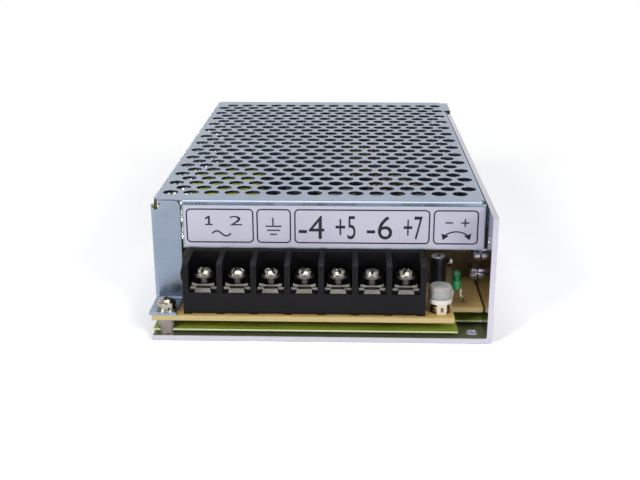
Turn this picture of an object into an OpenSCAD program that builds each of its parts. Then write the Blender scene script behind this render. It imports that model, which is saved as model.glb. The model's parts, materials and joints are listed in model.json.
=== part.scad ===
// Mesh case switching power supply.
// A folded aluminium angle carries the circuit board; a perforated, folded steel cover closes it.
// Origin: middle of the footprint, on the underside. +Y runs from the terminals to the back, +Z is up.

/* [Case] */
// Overall width of the case
case_w = 97; // [92:0.5:110]
// Overall length of the case
case_l = 159; // [156:0.5:180]
// Overall height of the case
case_h = 38; // [37:0.5:46]

/* [Chassis] */
// Thickness of the aluminium angle
chassis_t = 1.5; // [1.2:0.1:1.8]
// Outside radius of the bend between base and side wall
chassis_r = 2; // [2:0.1:3]
// Distance that the base stands in from the cover's left face
base_inset = 1; // [0.9:0.05:1.2]
// Radius of the through holes at the front corner
corner_hole_r = 1.8; // [1.5:0.05:2]
// Radius of the hole in the side wall's front corner
wall_hole_r = 1.8; // [1.5:0.05:2]
// Radius of the tapped fixing holes in base and wall
tapped_r = 1.25; // [1:0.05:1.4]
// Distance from the case's sides to the base's fixing holes
fix_side = 9.5; // [8.5:0.5:11]
// Distance from the case's ends to the base's fixing holes
fix_end = 19.5; // [18.5:0.5:22]
// Distance from the front edge to the side wall's first fixing hole
side_fix_first = 27.4; // [27:0.1:28]
// Distance from the back edge to the side wall's last fixing hole
side_fix_last = 11; // [8:0.5:12]
// Height of the side wall's fixing holes
side_fix_z = 10.4; // [9.8:0.1:10.6]

/* [Cover] */
// Thickness of the cover's sheet
cover_t = 0.8; // [0.6:0.05:0.8]
// Outside radius of the cover's folds
cover_r = 1.3; // [1.2:0.05:1.5]
// Distance from the front edge back to the cover's front flange
cover_setback = 11.3; // [11.1:0.1:12]
// Height of the front flange's lower edge
flange_low = 24; // [23.6:0.1:25]
// Diameter of the ventilation holes
vent_d = 4.5; // [3:0.1:4.8]
// Spacing of the ventilation holes in a row
vent_pitch = 6; // [5.6:0.1:7]
// Distance from the front edge to the first row of ventilation holes
vent_first = 19.93; // [18.5:0.1:22]
// Width of the corner post folded round from the left wall
post_w = 8.5; // [8:0.1:8.7]

/* [Circuit board] */
// Thickness of the circuit board
board_t = 1.5; // [1.2:0.1:1.6]
// Height of the circuit board's underside
board_z = 6.1; // [5.6:0.1:6.4]
// Thickness of the insulation sheet
sheet_t = 0.5; // [0.3:0.05:0.6]
// Height of the insulation sheet's underside
sheet_z = 2.5; // [2.4:0.05:3]
// Outside diameter of the board's standoffs
standoff_d = 5.1; // [4.8:0.1:5.6]

/* [Terminal block] */
// Spacing of the terminals
way_pitch = 9.5; // [9:0.1:9.5]
// Thickness of the barriers between terminals
barrier_t = 1.5; // [1:0.1:1.8]
// Depth of the block from front to back
block_l = 16.2; // [15.4:0.1:17]
// Distance of the block's front from the case's front edge
block_setback = 1.3; // [1:0.1:1.6]
// Height of the floor that the terminal plates lie on
floor_z = 14.6; // [14:0.1:15]
// Height of the barriers' tops
barrier_z = 22.6; // [21.8:0.1:23]
// Distance from the block's front face to the screws' axes
screw_setback = 4.1; // [4:0.1:4.4]
// Thread diameter of the terminal screws
screw_d = 3; // [2.8:0.1:3.2]
// Head diameter of the terminal screws
head_d = 5.8; // [5.4:0.1:6]
// Head height of the terminal screws
head_h = 2.1; // [1.8:0.1:2.3]
// Length of the terminal screws under the head
screw_l = 8; // [7:0.1:8.2]
// Free height between a wire clamp and the screw's head above it
backed_off = 1.8; // [1.2:0.1:2]
// Width of a wire clamp
clamp_w = 6.4; // [6:0.1:6.6]
// Thickness of the wire clamps
clamp_t = 0.8; // [0.6:0.1:1]
// Thickness of the fixed terminal plates
plate_t = 0.8; // [0.6:0.1:0.9]

/* [Front parts] */
// Diameter of the trimmer's body and knob
trimmer_d = 6.9; // [6.5:0.1:7]
// Height of the trimmer's knob
knob_h = 3.5; // [3:0.1:5]
// Diameter of the indicator lamp's foot
lamp_d = 2.9; // [2.7:0.1:3.2]
// Diameter of the small capacitor beside the block
small_cap_d = 5; // [4.5:0.1:5.4]

/* [Components] */
// Height of the large capacitors above the board
bulk_h = 26; // [22:0.5:27]
// Diameter of the large capacitors
bulk_d = 18; // [16:0.5:18.5]
// Height of the transformer above the board
transformer_h = 24; // [22:0.5:26]
// Outside diameter of the toroidal output choke
choke_d = 24; // [20:0.5:25]
// Height of the output capacitors above the board
output_cap_h = 22; // [18:0.5:25]

/* [Hidden] */
$fn = 48;
ways = 7;                // terminals; each has a screw and a clamp of its own in the list

// clearances between mating pieces
slip = 0.1;              // hole round a part that stands still
run = 0.06;              // running gap round a part that turns
gap = 0.3;               // gap between neighbours that should not touch

// case
front = -case_l / 2;
back = case_l / 2;
left = -case_w / 2;
right = case_w / 2;
wall_in = right - chassis_t;
wall_top = case_h - cover_t;
base_left = left + base_inset;

// cover
cover_front = front + cover_setback;
cover_inner_left = left + cover_t;
cover_right = wall_in - 0.2;
skirt_z = 0.2;           // lower edge of the left wall
lip_low = 30;            // lower edge of the lip inside the side wall
ear_y = back - 18;       // the top reaches over the side wall behind this line
lip_screw_z = (lip_low + case_h - cover_r) / 2;
lip_screw_ys = [front + 26, ear_y - 12];
cover_screw_l = 4;       // screws through the side wall into the lip
fold_tab_w = 12;         // tabs folded in under the case
fold_tab_l = 8;
tab_relief = 1;
side_tab_ys = [front + 42, back - 44];
rear_tab_xs = [-26, 26];
vent_row = vent_pitch * sqrt(3) / 2;
vent_rows = floor((back - 6.6 - vent_d / 2 - front - vent_first) / vent_row) + 1;
vent_cols = floor((cover_right - left - cover_r - 2) / vent_pitch - 0.2);
fold_arc = (cover_r - cover_t / 2) * PI / 2;
vent_edge_x = left + cover_r / 2 + 0.85;   // column that straddles the left fold
wall_vent_z = case_h - cover_r - (vent_pitch / 2 - fold_arc / 2);
wall_vents = floor((wall_vent_z - 8) / vent_pitch) + 1;

// front flange and corner post
flange_x0 = left + post_w + 0.6;
flange_x1 = cover_right - 0.3;
post_top = case_h - 0.2;
foot_w = 7.7;
foot_x = left + gap;

// circuit board and sheet
board_top = board_z + board_t;
board_x0 = cover_inner_left + gap;
board_x1 = wall_in - gap;
board_y1 = back - 2;
notch_d = 8;             // depth of the board's cut-out at the front right
foot_screw = [foot_x + foot_w / 2 + 0.7, front + 3.3];
standoffs = [
  foot_screw,
  [board_x0 + 4.2, back - 12],
  [board_x1 - 5.2, back - 8],
  [board_x1 - 5.2, front + 44]
];
screw_m3 = 1.5;          // thread radius of the small screws

// terminal block
block_x0 = left + 10;
block_front = front + block_setback;
block_back = block_front + block_l;
first_way = block_x0 + barrier_t / 2 + way_pitch / 2 + 0.15;
block_x1 = first_way + (ways - 0.5) * way_pitch + barrier_t / 2;
block_low = board_top + 0.4;
ledge_z = floor_z - 0.7;
bay_back = block_front + 11.5;
screw_y = block_front + screw_setback;
plate_top = floor_z + plate_t;
clamp_top = plate_top + clamp_t;
head_z = clamp_top + backed_off;
neck_r = screw_d / 2 - 0.3;
slot_w = 0.9;            // driver slot across the heads, and how far each screw stands turned
slot_depth = 0.8;
slot_turn = [84, 60, 118, 72, 105, 92, 68];
function way_x(k) = first_way + k * way_pitch;

// front parts, beside the block
trimmer = [block_x1 + 4.4, front + 5.6];
collar_z = board_top + 2.9;
knob_z = collar_z + 1.4;
lamp = [block_x1 + 9.6, front + 12.3];
lamp_z = board_top + 4.2;
lamp_h = 5.6;
lamp_leads_x = [-1, 1.3];   // leads where they leave the lamp, and the right one's foot
lamp_foot_x = 2.3;
small_cap = [block_x1 + 4.8, front + 20];
notch_x = trimmer[0] + trimmer_d / 2 + 0.3;

// components: their places are shares of the case's width and length
function at(u, v) = [u * case_w, front + v * case_l];
fuse = at(-0.186, 0.17);
inrush_limiter = at(-0.02, 0.214);
small_x_cap = at(-0.333, 0.302);
large_x_caps = at(-0.34, 0.425);
y_caps = [at(-0.062, 0.327), at(-0.062, 0.39), at(0.01, 0.553)];
line_choke = at(-0.34, 0.535);
bridge = at(-0.124, 0.505);
bulk_caps = [at(-0.33, 0.64), at(-0.124, 0.64)];
transformer = at(0.14, 0.857);
choke = at(0.247, 0.421);
output_caps = [at(0.057, 0.314), at(0.17, 0.314), at(0.289, 0.32), at(0.35, 0.55)];
isolators = [at(-0.196, 0.767), at(-0.196, 0.83)];
axial_resistors = [at(-0.371, 0.818), at(-0.371, 0.865), at(-0.103, 0.874), at(-0.124, 0.92)];
devices = [for (v = [0.604, 0.698, 0.786, 0.881]) at(0, v)[1]];

// sizes of components
small_x_size = [16, 7, 22];
large_x_size = [22, 9.6, 22];
y_cap_r = 4.2;
y_cap_t = 3.2;
fuse_r = 2.4;
fuse_l = 20;
limiter_r = 5;
limiter_t = 4;
bridge_size = [5, 17, 14];
output_cap_d = 10;
wire_d = 1.2;            // thick enamelled wire
isolator_size = [6.5, 4.6, 3.6];
resistor_r = 1.9;
resistor_l = 10;
bar_z = 24;
pad_w = 10.4;

// ---------- helpers ----------

// quarter of a folded sheet's section, its centre at the origin, in the +x +y quarter
module fold(r, t) {
  intersection() {
    difference() {
      circle(r);
      circle(r - t);
    }
    square(r);
  }
}

// a section drawn in x and z, run along y from y0 to y1
module along_y(y0, y1) {
  translate([0, y1, 0]) rotate([90, 0, 0]) linear_extrude(y1 - y0) children();
}

// a section drawn in y and z, run along x from x0 to x1
module along_x(x0, x1) {
  translate([x0, 0, 0]) rotate([90, 0, 90]) linear_extrude(x1 - x0) children();
}

module hole_z(p, r, z0, z1) {
  translate([p[0], p[1], z0]) cylinder(r = r, h = z1 - z0);
}

module hole_x(y, z, r, x0, x1) {
  translate([x0, y, z]) rotate([0, 90, 0]) cylinder(r = r, h = x1 - x0);
}

// rounded rectangle round the origin
module rounded_plan(w, l, r) {
  square([w - 2 * r, l], center = true);
  square([w, l - 2 * r], center = true);
  for (i = [-1, 1], j = [-1, 1]) translate([i * (w / 2 - r), j * (l / 2 - r)]) circle(r);
}

// a can with a rounded top rim, a rolled groove near its foot and a scored vent in its top
module can(p, r, h) {
  rim = 0.8;
  score = 0.3;
  translate([p[0], p[1], board_top]) difference() {
    rotate_extrude() difference() {
      union() {
        square([r, h - rim]);
        square([r - rim, h]);
        translate([r - rim, h - rim]) circle(rim);
      }
      translate([r + 0.3, 2.2]) circle(0.6);
      translate([0, h - score / 2]) square([r - 2 * rim, score]);
      translate([-1, 0]) square([1, h]);
    }
    for (a = [0, 60, 120])
      rotate(a) translate([-r * 0.6, -score / 2, h - 1.5 * score]) cube([r * 1.2, score, 1]);
  }
}

// turns of wire one above the other on a rounded former
module stacked_turns(w, l, h, n) {
  pitch = h / n;
  linear_extrude(h) rounded_plan(w - wire_d / 2, l - wire_d / 2, 1.6);
  for (k = [0 : n - 1])
    translate([0, 0, (k + 0.12) * pitch]) linear_extrude(0.76 * pitch) rounded_plan(w, l, 1.9);
}

// cross recess of a small screw, cut down from z by depth
module cross_recess(w, z, depth) {
  for (a = [0, 90])
    rotate(a) translate([-w / 2, -0.35, z - depth]) cube([w, 0.7, depth + 1]);
}

// pan head: a short cylinder under a shallow dome
module pan_head(r, h) {
  edge = h * 0.42;
  dome_r = (r * r + pow(h - edge, 2)) / (2 * (h - edge));
  rotate_extrude() intersection() {
    union() {
      square([r, edge]);
      intersection() {
        translate([0, h - dome_r]) circle(dome_r, $fn = 96);
        translate([0, edge]) square([r, h]);
      }
    }
    square([r, h]);
  }
}

// ---------- chassis ----------

module chassis_section() {
  translate([base_left, 0]) square([right - chassis_r - base_left, chassis_t]);
  translate([wall_in, chassis_r]) square([chassis_t, wall_top - chassis_r]);
  translate([right - chassis_r, chassis_r]) mirror([0, 1]) fold(chassis_r, chassis_t);
}

base_fixings = [for (x = [-1, 1], y = [-1, 1]) [x * (right - fix_side), y * (back - fix_end)]];
side_fixings = [
  [front + side_fix_first, side_fix_z],
  [back - side_fix_last, side_fix_z],
  [front + 22.3, 18.8]
];
tab_screws = concat(
  [for (y = side_tab_ys) [left + fold_tab_l - 3.2, y]],
  [for (x = rear_tab_xs) [x, back - fold_tab_l + 3.2]]
);
bar_screw_ys = [for (i = [0, 2]) (devices[i] + devices[i + 1]) / 2];
csk_r = 2.75;
csk_h = 1.15;
collar_h = 1.2;          // collars drawn inwards round the side wall's tapped holes

// collar drawn out of the sheet round a tapped hole, with a rounded root
module drawn_collar() {
  root = 0.5;
  rotate_extrude() difference() {
    square([tapped_r + 0.6 + root, collar_h + 0.5]);
    translate([tapped_r + 0.6 + root, root]) circle(root);
    translate([tapped_r + 0.6, root]) square([root + 1, collar_h]);
  }
}

module countersink() {
  cylinder(r1 = csk_r, r2 = screw_m3 + slip, h = csk_h);
  cylinder(r = screw_m3 + slip, h = chassis_t + 1);
}

module countersunk_screw(l) {
  difference() {
    union() {
      cylinder(r1 = csk_r - 0.05, r2 = screw_m3, h = csk_h);
      cylinder(r = screw_m3, h = l);
    }
    rotate([180, 0, 0]) cross_recess(3, 0, 0.9);
  }
}

module out_of_wall() {
  translate([right, 0, 0]) rotate([0, -90, 0]) children();
}

module chassis() {
  color([0.78, 0.79, 0.84])
  difference() {
    union() {
      along_y(front, back) chassis_section();
      for (p = base_fixings) hole_z(p, tapped_r + 1.2, chassis_t - 0.5, sheet_z);
      for (p = side_fixings)
        translate([wall_in, p[0], p[1]]) rotate([0, -90, 0]) drawn_collar();
    }
    for (p = base_fixings) hole_z(p, tapped_r, -1, sheet_z + 1);
    for (p = standoffs) hole_z(p, standoff_d / 2 - 0.7 + slip / 2, -1, chassis_t + 1);
    for (p = tab_screws) translate([p[0], p[1], 0]) countersink();
    hole_z([right - 5.2, front + 4.05], corner_hole_r, -1, chassis_t + 1);
    hole_x(front + 5, 28.7, wall_hole_r, wall_in - 1, right + 1);
    for (p = side_fixings) hole_x(p[0], p[1], tapped_r, wall_in - collar_h - 1, right + 1);
    for (y = lip_screw_ys) translate([0, y, lip_screw_z]) out_of_wall() countersink();
    for (y = bar_screw_ys) translate([0, y, bar_z]) out_of_wall() countersink();
  }
}

// ---------- cover ----------

module top_vents() {
  for (j = [0 : vent_rows - 1], i = [0 : vent_cols])
    let (odd = j % 2, x = vent_edge_x + (i + (odd ? 1 : 0.5)) * vent_pitch)
      if (x + vent_d / 2 < cover_right - 1)
        translate([x, front + vent_first + j * vent_row]) circle(d = vent_d);
}

module wall_vent_plan() {
  for (j = [0 : vent_rows - 1], i = [0 : wall_vents - 1])
    let (odd = j % 2, z = wall_vent_z - (i + (odd ? 0.5 : 0)) * vent_pitch)
      if (z > 9)
        translate([front + vent_first + j * vent_row, z]) circle(d = vent_d);
}

module top_plan() {
  y0 = cover_front + cover_r;
  difference() {
    union() {
      translate([left + cover_r, y0])
        square([cover_right - cover_r - left - cover_r, back - cover_r - y0]);
      translate([cover_right - cover_r, ear_y])
        square([right - cover_right + cover_r, back - cover_r - 1.5 - ear_y]);
    }
    top_vents();
  }
}

module left_wall_plan() {
  y0 = cover_front + cover_r;
  difference() {
    translate([y0, skirt_z]) square([back - cover_r - y0, case_h - cover_r - skirt_z]);
    for (y = side_tab_ys)
      translate([y - fold_tab_w / 2 - tab_relief, -1])
        square([fold_tab_w + 2 * tab_relief, 1 + chassis_t + cover_r]);
    wall_vent_plan();
  }
}

module fold_vents() {
  for (j = [1 : 2 : vent_rows - 1])
    translate([left + cover_r, front + vent_first + j * vent_row, case_h - cover_r])
      rotate([0, -45, 0]) cylinder(d = vent_d, h = 4);
}

// corner post: folded from the left wall, its outer top corner cut off
module post_plan() {
  x0 = left + cover_r;
  z0 = board_top + cover_r;
  round_r = 1.5;
  x1 = left + post_w;
  union() {
    translate([x0, z0]) square([x1 - round_r - x0, post_top - z0]);
    translate([x0, z0]) square([x1 - x0, post_top - round_r - z0]);
    translate([x1 - round_r, post_top - round_r]) circle(round_r);
  }
}

module cover_sheet() {
  yf = cover_front;
  zt = case_h - cover_r;
  // top
  translate([0, 0, wall_top]) linear_extrude(cover_t) top_plan();
  // left wall
  translate([left, 0, 0]) rotate([90, 0, 90]) linear_extrude(cover_t) left_wall_plan();
  // fold between them
  difference() {
    along_y(yf + cover_r, back - cover_r)
      translate([left + cover_r, zt]) mirror([1, 0]) fold(cover_r, cover_t);
    fold_vents();
  }
  // front flange and its fold
  along_x(flange_x0, flange_x1) {
    translate([yf, flange_low]) square([cover_t, zt - flange_low]);
    translate([yf + cover_r, zt]) mirror([1, 0]) fold(cover_r, cover_t);
  }
  // corner post with its fold and foot
  z0 = board_top + cover_r;
  translate([0, yf + cover_t, 0]) rotate([90, 0, 0]) linear_extrude(cover_t) post_plan();
  translate([left + cover_r, yf + cover_r, z0])
    linear_extrude(post_top - z0) mirror([1, 1]) fold(cover_r, cover_t);
  along_x(foot_x, foot_x + foot_w) {
    translate([yf + cover_t - cover_r, z0]) mirror([0, 1]) fold(cover_r, cover_t);
    translate([front, board_top]) square([yf + cover_t - cover_r - front, cover_t]);
  }
  // rear flange, its fold and its two tabs
  along_x(left + cover_r + 0.4, cover_right - cover_r - 0.4) {
    translate([back - cover_t, chassis_t + cover_r])
      square([cover_t, zt - chassis_t - cover_r]);
    translate([back - cover_r, zt]) fold(cover_r, cover_t);
  }
  for (x = rear_tab_xs)
    along_x(x - fold_tab_w / 2, x + fold_tab_w / 2) {
      translate([back - cover_r, chassis_t + cover_r]) mirror([0, 1]) fold(cover_r, cover_t);
      translate([back - fold_tab_l, chassis_t]) square([fold_tab_l - cover_r, cover_t]);
    }
  // side tabs
  for (y = side_tab_ys)
    along_y(y - fold_tab_w / 2, y + fold_tab_w / 2) {
      translate([left + cover_r, chassis_t + cover_r]) mirror([1, 0]) mirror([0, 1])
        fold(cover_r, cover_t);
      translate([left + cover_r, chassis_t]) square([fold_tab_l - cover_r, cover_t]);
    }
  // lip inside the side wall
  along_y(yf + cover_r + 1.2, ear_y - 1) {
    translate([cover_right - cover_r, zt]) fold(cover_r, cover_t);
    translate([cover_right - cover_t, lip_low]) square([cover_t, zt - lip_low]);
  }
}

module cover() {
  cut = 2;
  color([0.62, 0.67, 0.74])
  difference() {
    cover_sheet();
    hole_z(foot_screw, screw_m3 + 0.2, board_top - 1, board_top + cover_t + 1);
    for (p = tab_screws) hole_z(p, screw_m3 + slip / 2, chassis_t - 1, chassis_t + cover_t + 1);
    for (y = lip_screw_ys)
      hole_x(y, lip_screw_z, screw_m3 + slip / 2, cover_right - cover_t - 1, cover_right + 1);
    // relief where the top's front and right folds meet
    translate([cover_right - 0.85, cover_front + 0.7, case_h - cover_r + 0.2]) {
      cylinder(r = 0.6, h = cover_r + 1);
      cube([cut, cover_r, cover_r + 1]);
    }
    // the post's outer top corner
    translate([left, cover_front + 0.65, post_top]) rotate([0, 37, 0])
      cube([2 * cut + 2, 1.3 + cover_r, cut * 1.2], center = true);
  }
}

module front_label() {
  edge = 0.4;
  color([0.78, 0.78, 0.86])
  translate([0, cover_front, 0]) rotate([90, 0, 0]) linear_extrude(0.15)
    translate([flange_x0 + edge, flange_low + edge])
      square([flange_x1 - flange_x0 - 2 * edge, case_h - cover_r - flange_low - edge]);
}

// ---------- board, sheet and fixings ----------

module plate_outline(x0, x1, y0, y1, nx, nd) {
  difference() {
    translate([x0, y0]) square([x1 - x0, y1 - y0]);
    translate([nx, y0 - 1]) square([x1 - nx + 1, nd + 1]);
  }
}

module main_board() {
  color([0.83, 0.68, 0.38])
  translate([0, 0, board_z]) linear_extrude(board_t)
    difference() {
      plate_outline(board_x0, board_x1, front, board_y1, notch_x, notch_d);
      for (p = standoffs) translate(p) circle(screw_m3 + slip);
      for (k = [0 : ways - 1])
        translate([way_x(k) - tail_w / 2 - slip, tail_y - slip])
          square([tail_w + 2 * slip, plate_t + 2 * slip]);
      for (x = [lamp_leads_x[0], lamp_foot_x]) translate([lamp[0] + x, lamp[1]]) circle(lead_w * 0.75 + slip);
    }
}

module insulation_sheet() {
  color([0.6, 0.68, 0.3])
  translate([0, 0, sheet_z]) linear_extrude(sheet_t)
    difference() {
      plate_outline(board_x0 - 0.1, wall_in - slip, front + 1.3, board_y1 - 0.5,
                    notch_x + 1.2, notch_d);
      for (p = standoffs) translate(p) circle(standoff_d / 2 + slip);
    }
}

module board_standoffs() {
  swage_r = standoff_d / 2 - 0.7;
  color([0.7, 0.7, 0.68])
  for (p = standoffs)
    translate([p[0], p[1], 0]) difference() {
      union() {
        cylinder(r = swage_r, h = board_z);
        translate([0, 0, chassis_t]) cylinder(d = standoff_d, h = board_z - chassis_t);
      }
      translate([0, 0, chassis_t]) cylinder(r = screw_m3 + slip / 2, h = board_z);
    }
}

washer_t = 0.5;
spring_t = 0.8;
function seat_z(i) = board_top + (i == 0 ? cover_t + washer_t + spring_t : 0);

module board_screws() {
  color([0.75, 0.74, 0.7])
  for (i = [0 : len(standoffs) - 1])
    translate([standoffs[i][0], standoffs[i][1], seat_z(i)]) difference() {
      union() {
        pan_head(2.65, 2.1);
        translate([0, 0, board_z - 3.6 - seat_z(i)])
          cylinder(r = screw_m3, h = seat_z(i) - board_z + 4);
      }
      cross_recess(3, 2.1, 1.2);
    }
}

module washer(p, z, r, t) {
  translate([p[0], p[1], z]) difference() {
    cylinder(r = r, h = t);
    translate([0, 0, -1]) cylinder(r = screw_m3 + slip, h = t + 2);
  }
}

module flat_washer() {
  color([0.7, 0.7, 0.7]) washer(foot_screw, board_top + cover_t, 3, washer_t);
}

module spring_washer() {
  color([0.68, 0.68, 0.68]) difference() {
    washer(foot_screw, board_top + cover_t + washer_t, 2.6, spring_t);
    translate([foot_screw[0], foot_screw[1], board_top]) rotate(-60)
      translate([0, -0.25, 0]) rotate([12, 0, 0]) cube([4, 0.5, 5]);
  }
}

module cover_screws() {
  color([0.75, 0.74, 0.7])
  for (y = lip_screw_ys)
    translate([0, y, lip_screw_z]) out_of_wall() countersunk_screw(cover_screw_l);
}

module base_screws() {
  color([0.75, 0.74, 0.7])
  for (p = tab_screws)
    translate([p[0], p[1], 0]) countersunk_screw(chassis_t + cover_t);
}

// ---------- terminal block ----------

tail_w = 2;
tail_y = bay_back - 2;
well_z = board_top + 1.2;
lug = 1.1;

module block_section() {
  polygon([
    [block_front, block_low], [block_front, ledge_z], [block_front + 1.2, ledge_z],
    [block_front + 1.2, floor_z], [bay_back, floor_z], [bay_back, barrier_z],
    [block_back, barrier_z], [block_back, block_low]
  ]);
}

module barrier_section() {
  r = 1.6;
  translate([block_front, block_low]) square([block_l, barrier_z - r - block_low]);
  translate([block_front + r, barrier_z - r]) square([block_l - r, r]);
  translate([block_front + r, barrier_z - r]) circle(r);
}

// snap lug for a clip-on shield: flat underneath, curved above
module shield_lug() {
  h = 6.2;
  translate([0, block_front + 3.6, barrier_z - h]) rotate([90, 0, 0])
    translate([0, 0, -4.4]) linear_extrude(4.4) intersection() {
      square([lug, h]);
      translate([lug - 7, 1.6]) circle(7, $fn = 96);
    }
}

module terminal_block() {
  stub_w = 2.2;
  color([0.13, 0.13, 0.15])
  difference() {
    union() {
      along_x(block_x0, block_x1) block_section();
      for (k = [0 : ways])
        let (x = k == 0 ? block_x0 : way_x(k) - way_pitch / 2 - barrier_t / 2)
          along_x(x, k == 0 ? way_x(0) - way_pitch / 2 + barrier_t / 2 : x + barrier_t)
            barrier_section();
      for (k = [0 : ways])
        let (x = min(max(way_x(k) - way_pitch / 2 - stub_w / 2, block_x0), block_x1 - stub_w))
          translate([x, block_front, board_top]) cube([stub_w, block_l, 1]);
      translate([block_x1, 0, 0]) shield_lug();
      translate([block_x0, 0, 0]) mirror([1, 0, 0]) shield_lug();
    }
    for (k = [0 : ways - 1]) {
      hole_z([way_x(k), screw_y], screw_d / 2 + 0.5, well_z, floor_z + 1);
      translate([way_x(k) - tail_w / 2 - slip, tail_y - slip, board_top - 1])
        cube([tail_w + 2 * slip, plate_t + 2 * slip, floor_z]);
    }
  }
}

module terminal_plate() {
  w = 7.4;
  tab_y = block_front + 0.15;
  difference() {
    union() {
      translate([-w / 2, block_front + 1.5, floor_z])
        cube([w, tail_y + plate_t - block_front - 1.5, plate_t]);
      // tongue bent down over the ledge
      translate([-2, tab_y, floor_z]) cube([4, 2, plate_t]);
      translate([0, tab_y + plate_t, 0]) rotate([90, 0, 0]) linear_extrude(plate_t)
        polygon([[-2.3, ledge_z + 0.2], [2.3, ledge_z + 0.2], [2, plate_top], [-2, plate_top]]);
      // solder tail
      translate([-tail_w / 2, tail_y, board_z - 1.2])
        cube([tail_w, plate_t, floor_z - board_z + 1.3]);
    }
    hole_z([0, screw_y], screw_d / 2 + run, floor_z - 1, plate_top + 1);
  }
}

module terminal_plates() {
  color([0.8, 0.78, 0.74])
  for (k = [0 : ways - 1]) translate([way_x(k), 0, 0]) terminal_plate();
}

// square clamp with its two wings turned up
module wire_clamp(k) {
  d = 5.8;
  lift = 0.45;
  h = clamp_w / 2;
  color([0.8, 0.78, 0.74])
  translate([way_x(k), screw_y, plate_top]) difference() {
    along_y(-d / 2, d / 2)
      polygon([
        [-1.2, 0], [1.2, 0], [h, lift], [h, lift + clamp_t], [1.2, clamp_t],
        [-1.2, clamp_t], [-h, lift + clamp_t], [-h, lift]
      ]);
    translate([0, 0, -1]) cylinder(r = neck_r + run, h = 4);
  }
}

// head, reduced neck that the clamp hangs on, and thread
module terminal_screw(k) {
  color([0.82, 0.8, 0.77])
  translate([way_x(k), screw_y, head_z]) difference() {
    union() {
      pan_head(head_d / 2, head_h);
      translate([0, 0, -screw_l]) cylinder(r = neck_r, h = screw_l + head_h * 0.3);
      translate([0, 0, -screw_l + 0.5])
        cylinder(d = screw_d, h = screw_l - 0.5 - backed_off - clamp_t - run);
      translate([0, 0, -screw_l]) cylinder(r1 = neck_r - 0.3, r2 = neck_r, h = 0.5);
    }
    rotate(slot_turn[k]) {
      cross_recess(head_d * 0.62, head_h, head_h * 0.6);
      translate([-head_d, -slot_w / 2, head_h - slot_depth]) cube([2 * head_d, slot_w, head_h]);
    }
  }
}

// ---------- trimmer, lamp and the capacitor beside them ----------

module trimmer_body() {
  r = trimmer_d / 2;
  color([0.88, 0.86, 0.76])
  translate([trimmer[0], trimmer[1], board_top]) difference() {
    union() {
      cylinder(r = r - 0.15, h = collar_z - board_top);
      translate([0, 0, collar_z - board_top]) cylinder(r = r, h = knob_z - collar_z - run);
    }
    for (a = [-90, -20, 50])
      rotate(a) translate([r - 1, -0.75, 0.7]) cube([2, 1.5, 1.6]);
    translate([0, 0, knob_z - board_top - 1.2]) cylinder(r = 1.2, h = 2);
  }
}

module trimmer_knob() {
  r = trimmer_d / 2 - 0.1;
  color([0.72, 0.72, 0.72])
  translate([trimmer[0], trimmer[1], knob_z]) difference() {
    union() {
      cylinder(r = r - 0.25, h = 0.6);
      translate([0, 0, 0.5]) cylinder(r = r, h = knob_h - 1);
      translate([0, 0, knob_h - 0.5]) cylinder(r1 = r, r2 = r - 0.5, h = 0.5);
      translate([0, 0, -1]) cylinder(r = 1.2 - run, h = 1.5);
    }
    translate([-2, -0.35, knob_h - 0.8]) cube([4, 0.7, 2]);
  }
}

lead_w = 0.5;            // the lamp's square leads

// dome on a slightly wider foot
module lamp_lens() {
  r = lamp_d / 2 - 0.2;
  color([0.1, 0.6, 0.25])
  translate([lamp[0], lamp[1], lamp_z]) rotate_extrude() {
    square([r, lamp_h - r]);
    square([r + 0.2, 2.4]);
    translate([0, lamp_h - r]) intersection() {
      circle(r);
      square(r);
    }
  }
}

// square leads; the right one is bent outwards above the board
module lamp_leads() {
  h = lead_w / 2;
  x1 = lamp_leads_x[1];
  x2 = lamp_foot_x;
  bend = board_top + 2;
  foot = board_top + 0.9;
  color([0.78, 0.78, 0.76])
  translate([lamp[0], lamp[1] + h, 0]) rotate([90, 0, 0]) linear_extrude(lead_w) {
    translate([lamp_leads_x[0] - h, board_z - 1]) square([lead_w, lamp_z - board_z + 1]);
    polygon([
      [x1 - h, lamp_z], [x1 - h, bend - h], [x2 - h, foot - h], [x2 - h, board_z - 1],
      [x2 + h, board_z - 1], [x2 + h, foot + h], [x1 + h, bend + h], [x1 + h, lamp_z]
    ]);
  }
}

module small_capacitor() {
  color([0.1, 0.1, 0.12]) can(small_cap, small_cap_d / 2, 11.5);
}

// ---------- components on the board ----------

module moulded_box(p, size) {
  translate([p[0], p[1], board_top]) {
    linear_extrude(size[2] - 0.5) rounded_plan(size[0], size[1], 1);
    linear_extrude(size[2]) rounded_plan(size[0] - 1, size[1] - 1, 0.6);
  }
}

module x_capacitors() {
  color([0.85, 0.83, 0.25]) {
    moulded_box(small_x_cap, small_x_size);
    for (s = [-1, 1])
      moulded_box(large_x_caps + [0, s * (large_x_size[1] + gap) / 2], large_x_size);
  }
}

// dipped disc with rounded rim and two legs
module dipped_disc(p, r, t) {
  z = board_top + r + 1;
  translate([p[0], p[1], z]) rotate([90, 0, 0]) rotate_extrude() {
    translate([0, -t / 2]) square([r - t / 2, t]);
    translate([r - t / 2, 0]) intersection() {
      circle(t / 2);
      translate([0, -t]) square([t, 2 * t]);
    }
  }
  for (s = [-1, 1]) hole_z([p[0] + s * r * 0.6, p[1]], 0.45, board_top, z - r * 0.6);
}

module y_capacitors() {
  color([0.2, 0.35, 0.65]) for (p = y_caps) dipped_disc(p, y_cap_r, y_cap_t);
}

module thermistor() {
  color([0.16, 0.3, 0.18]) dipped_disc(inrush_limiter, limiter_r, limiter_t);
}

fuse_z = board_top + 5;
module fuse_tube() {
  color([0.85, 0.88, 0.88])
  hole_x(fuse[1], fuse_z, fuse_r, fuse[0] - fuse_l / 2, fuse[0] + fuse_l / 2);
}

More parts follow.
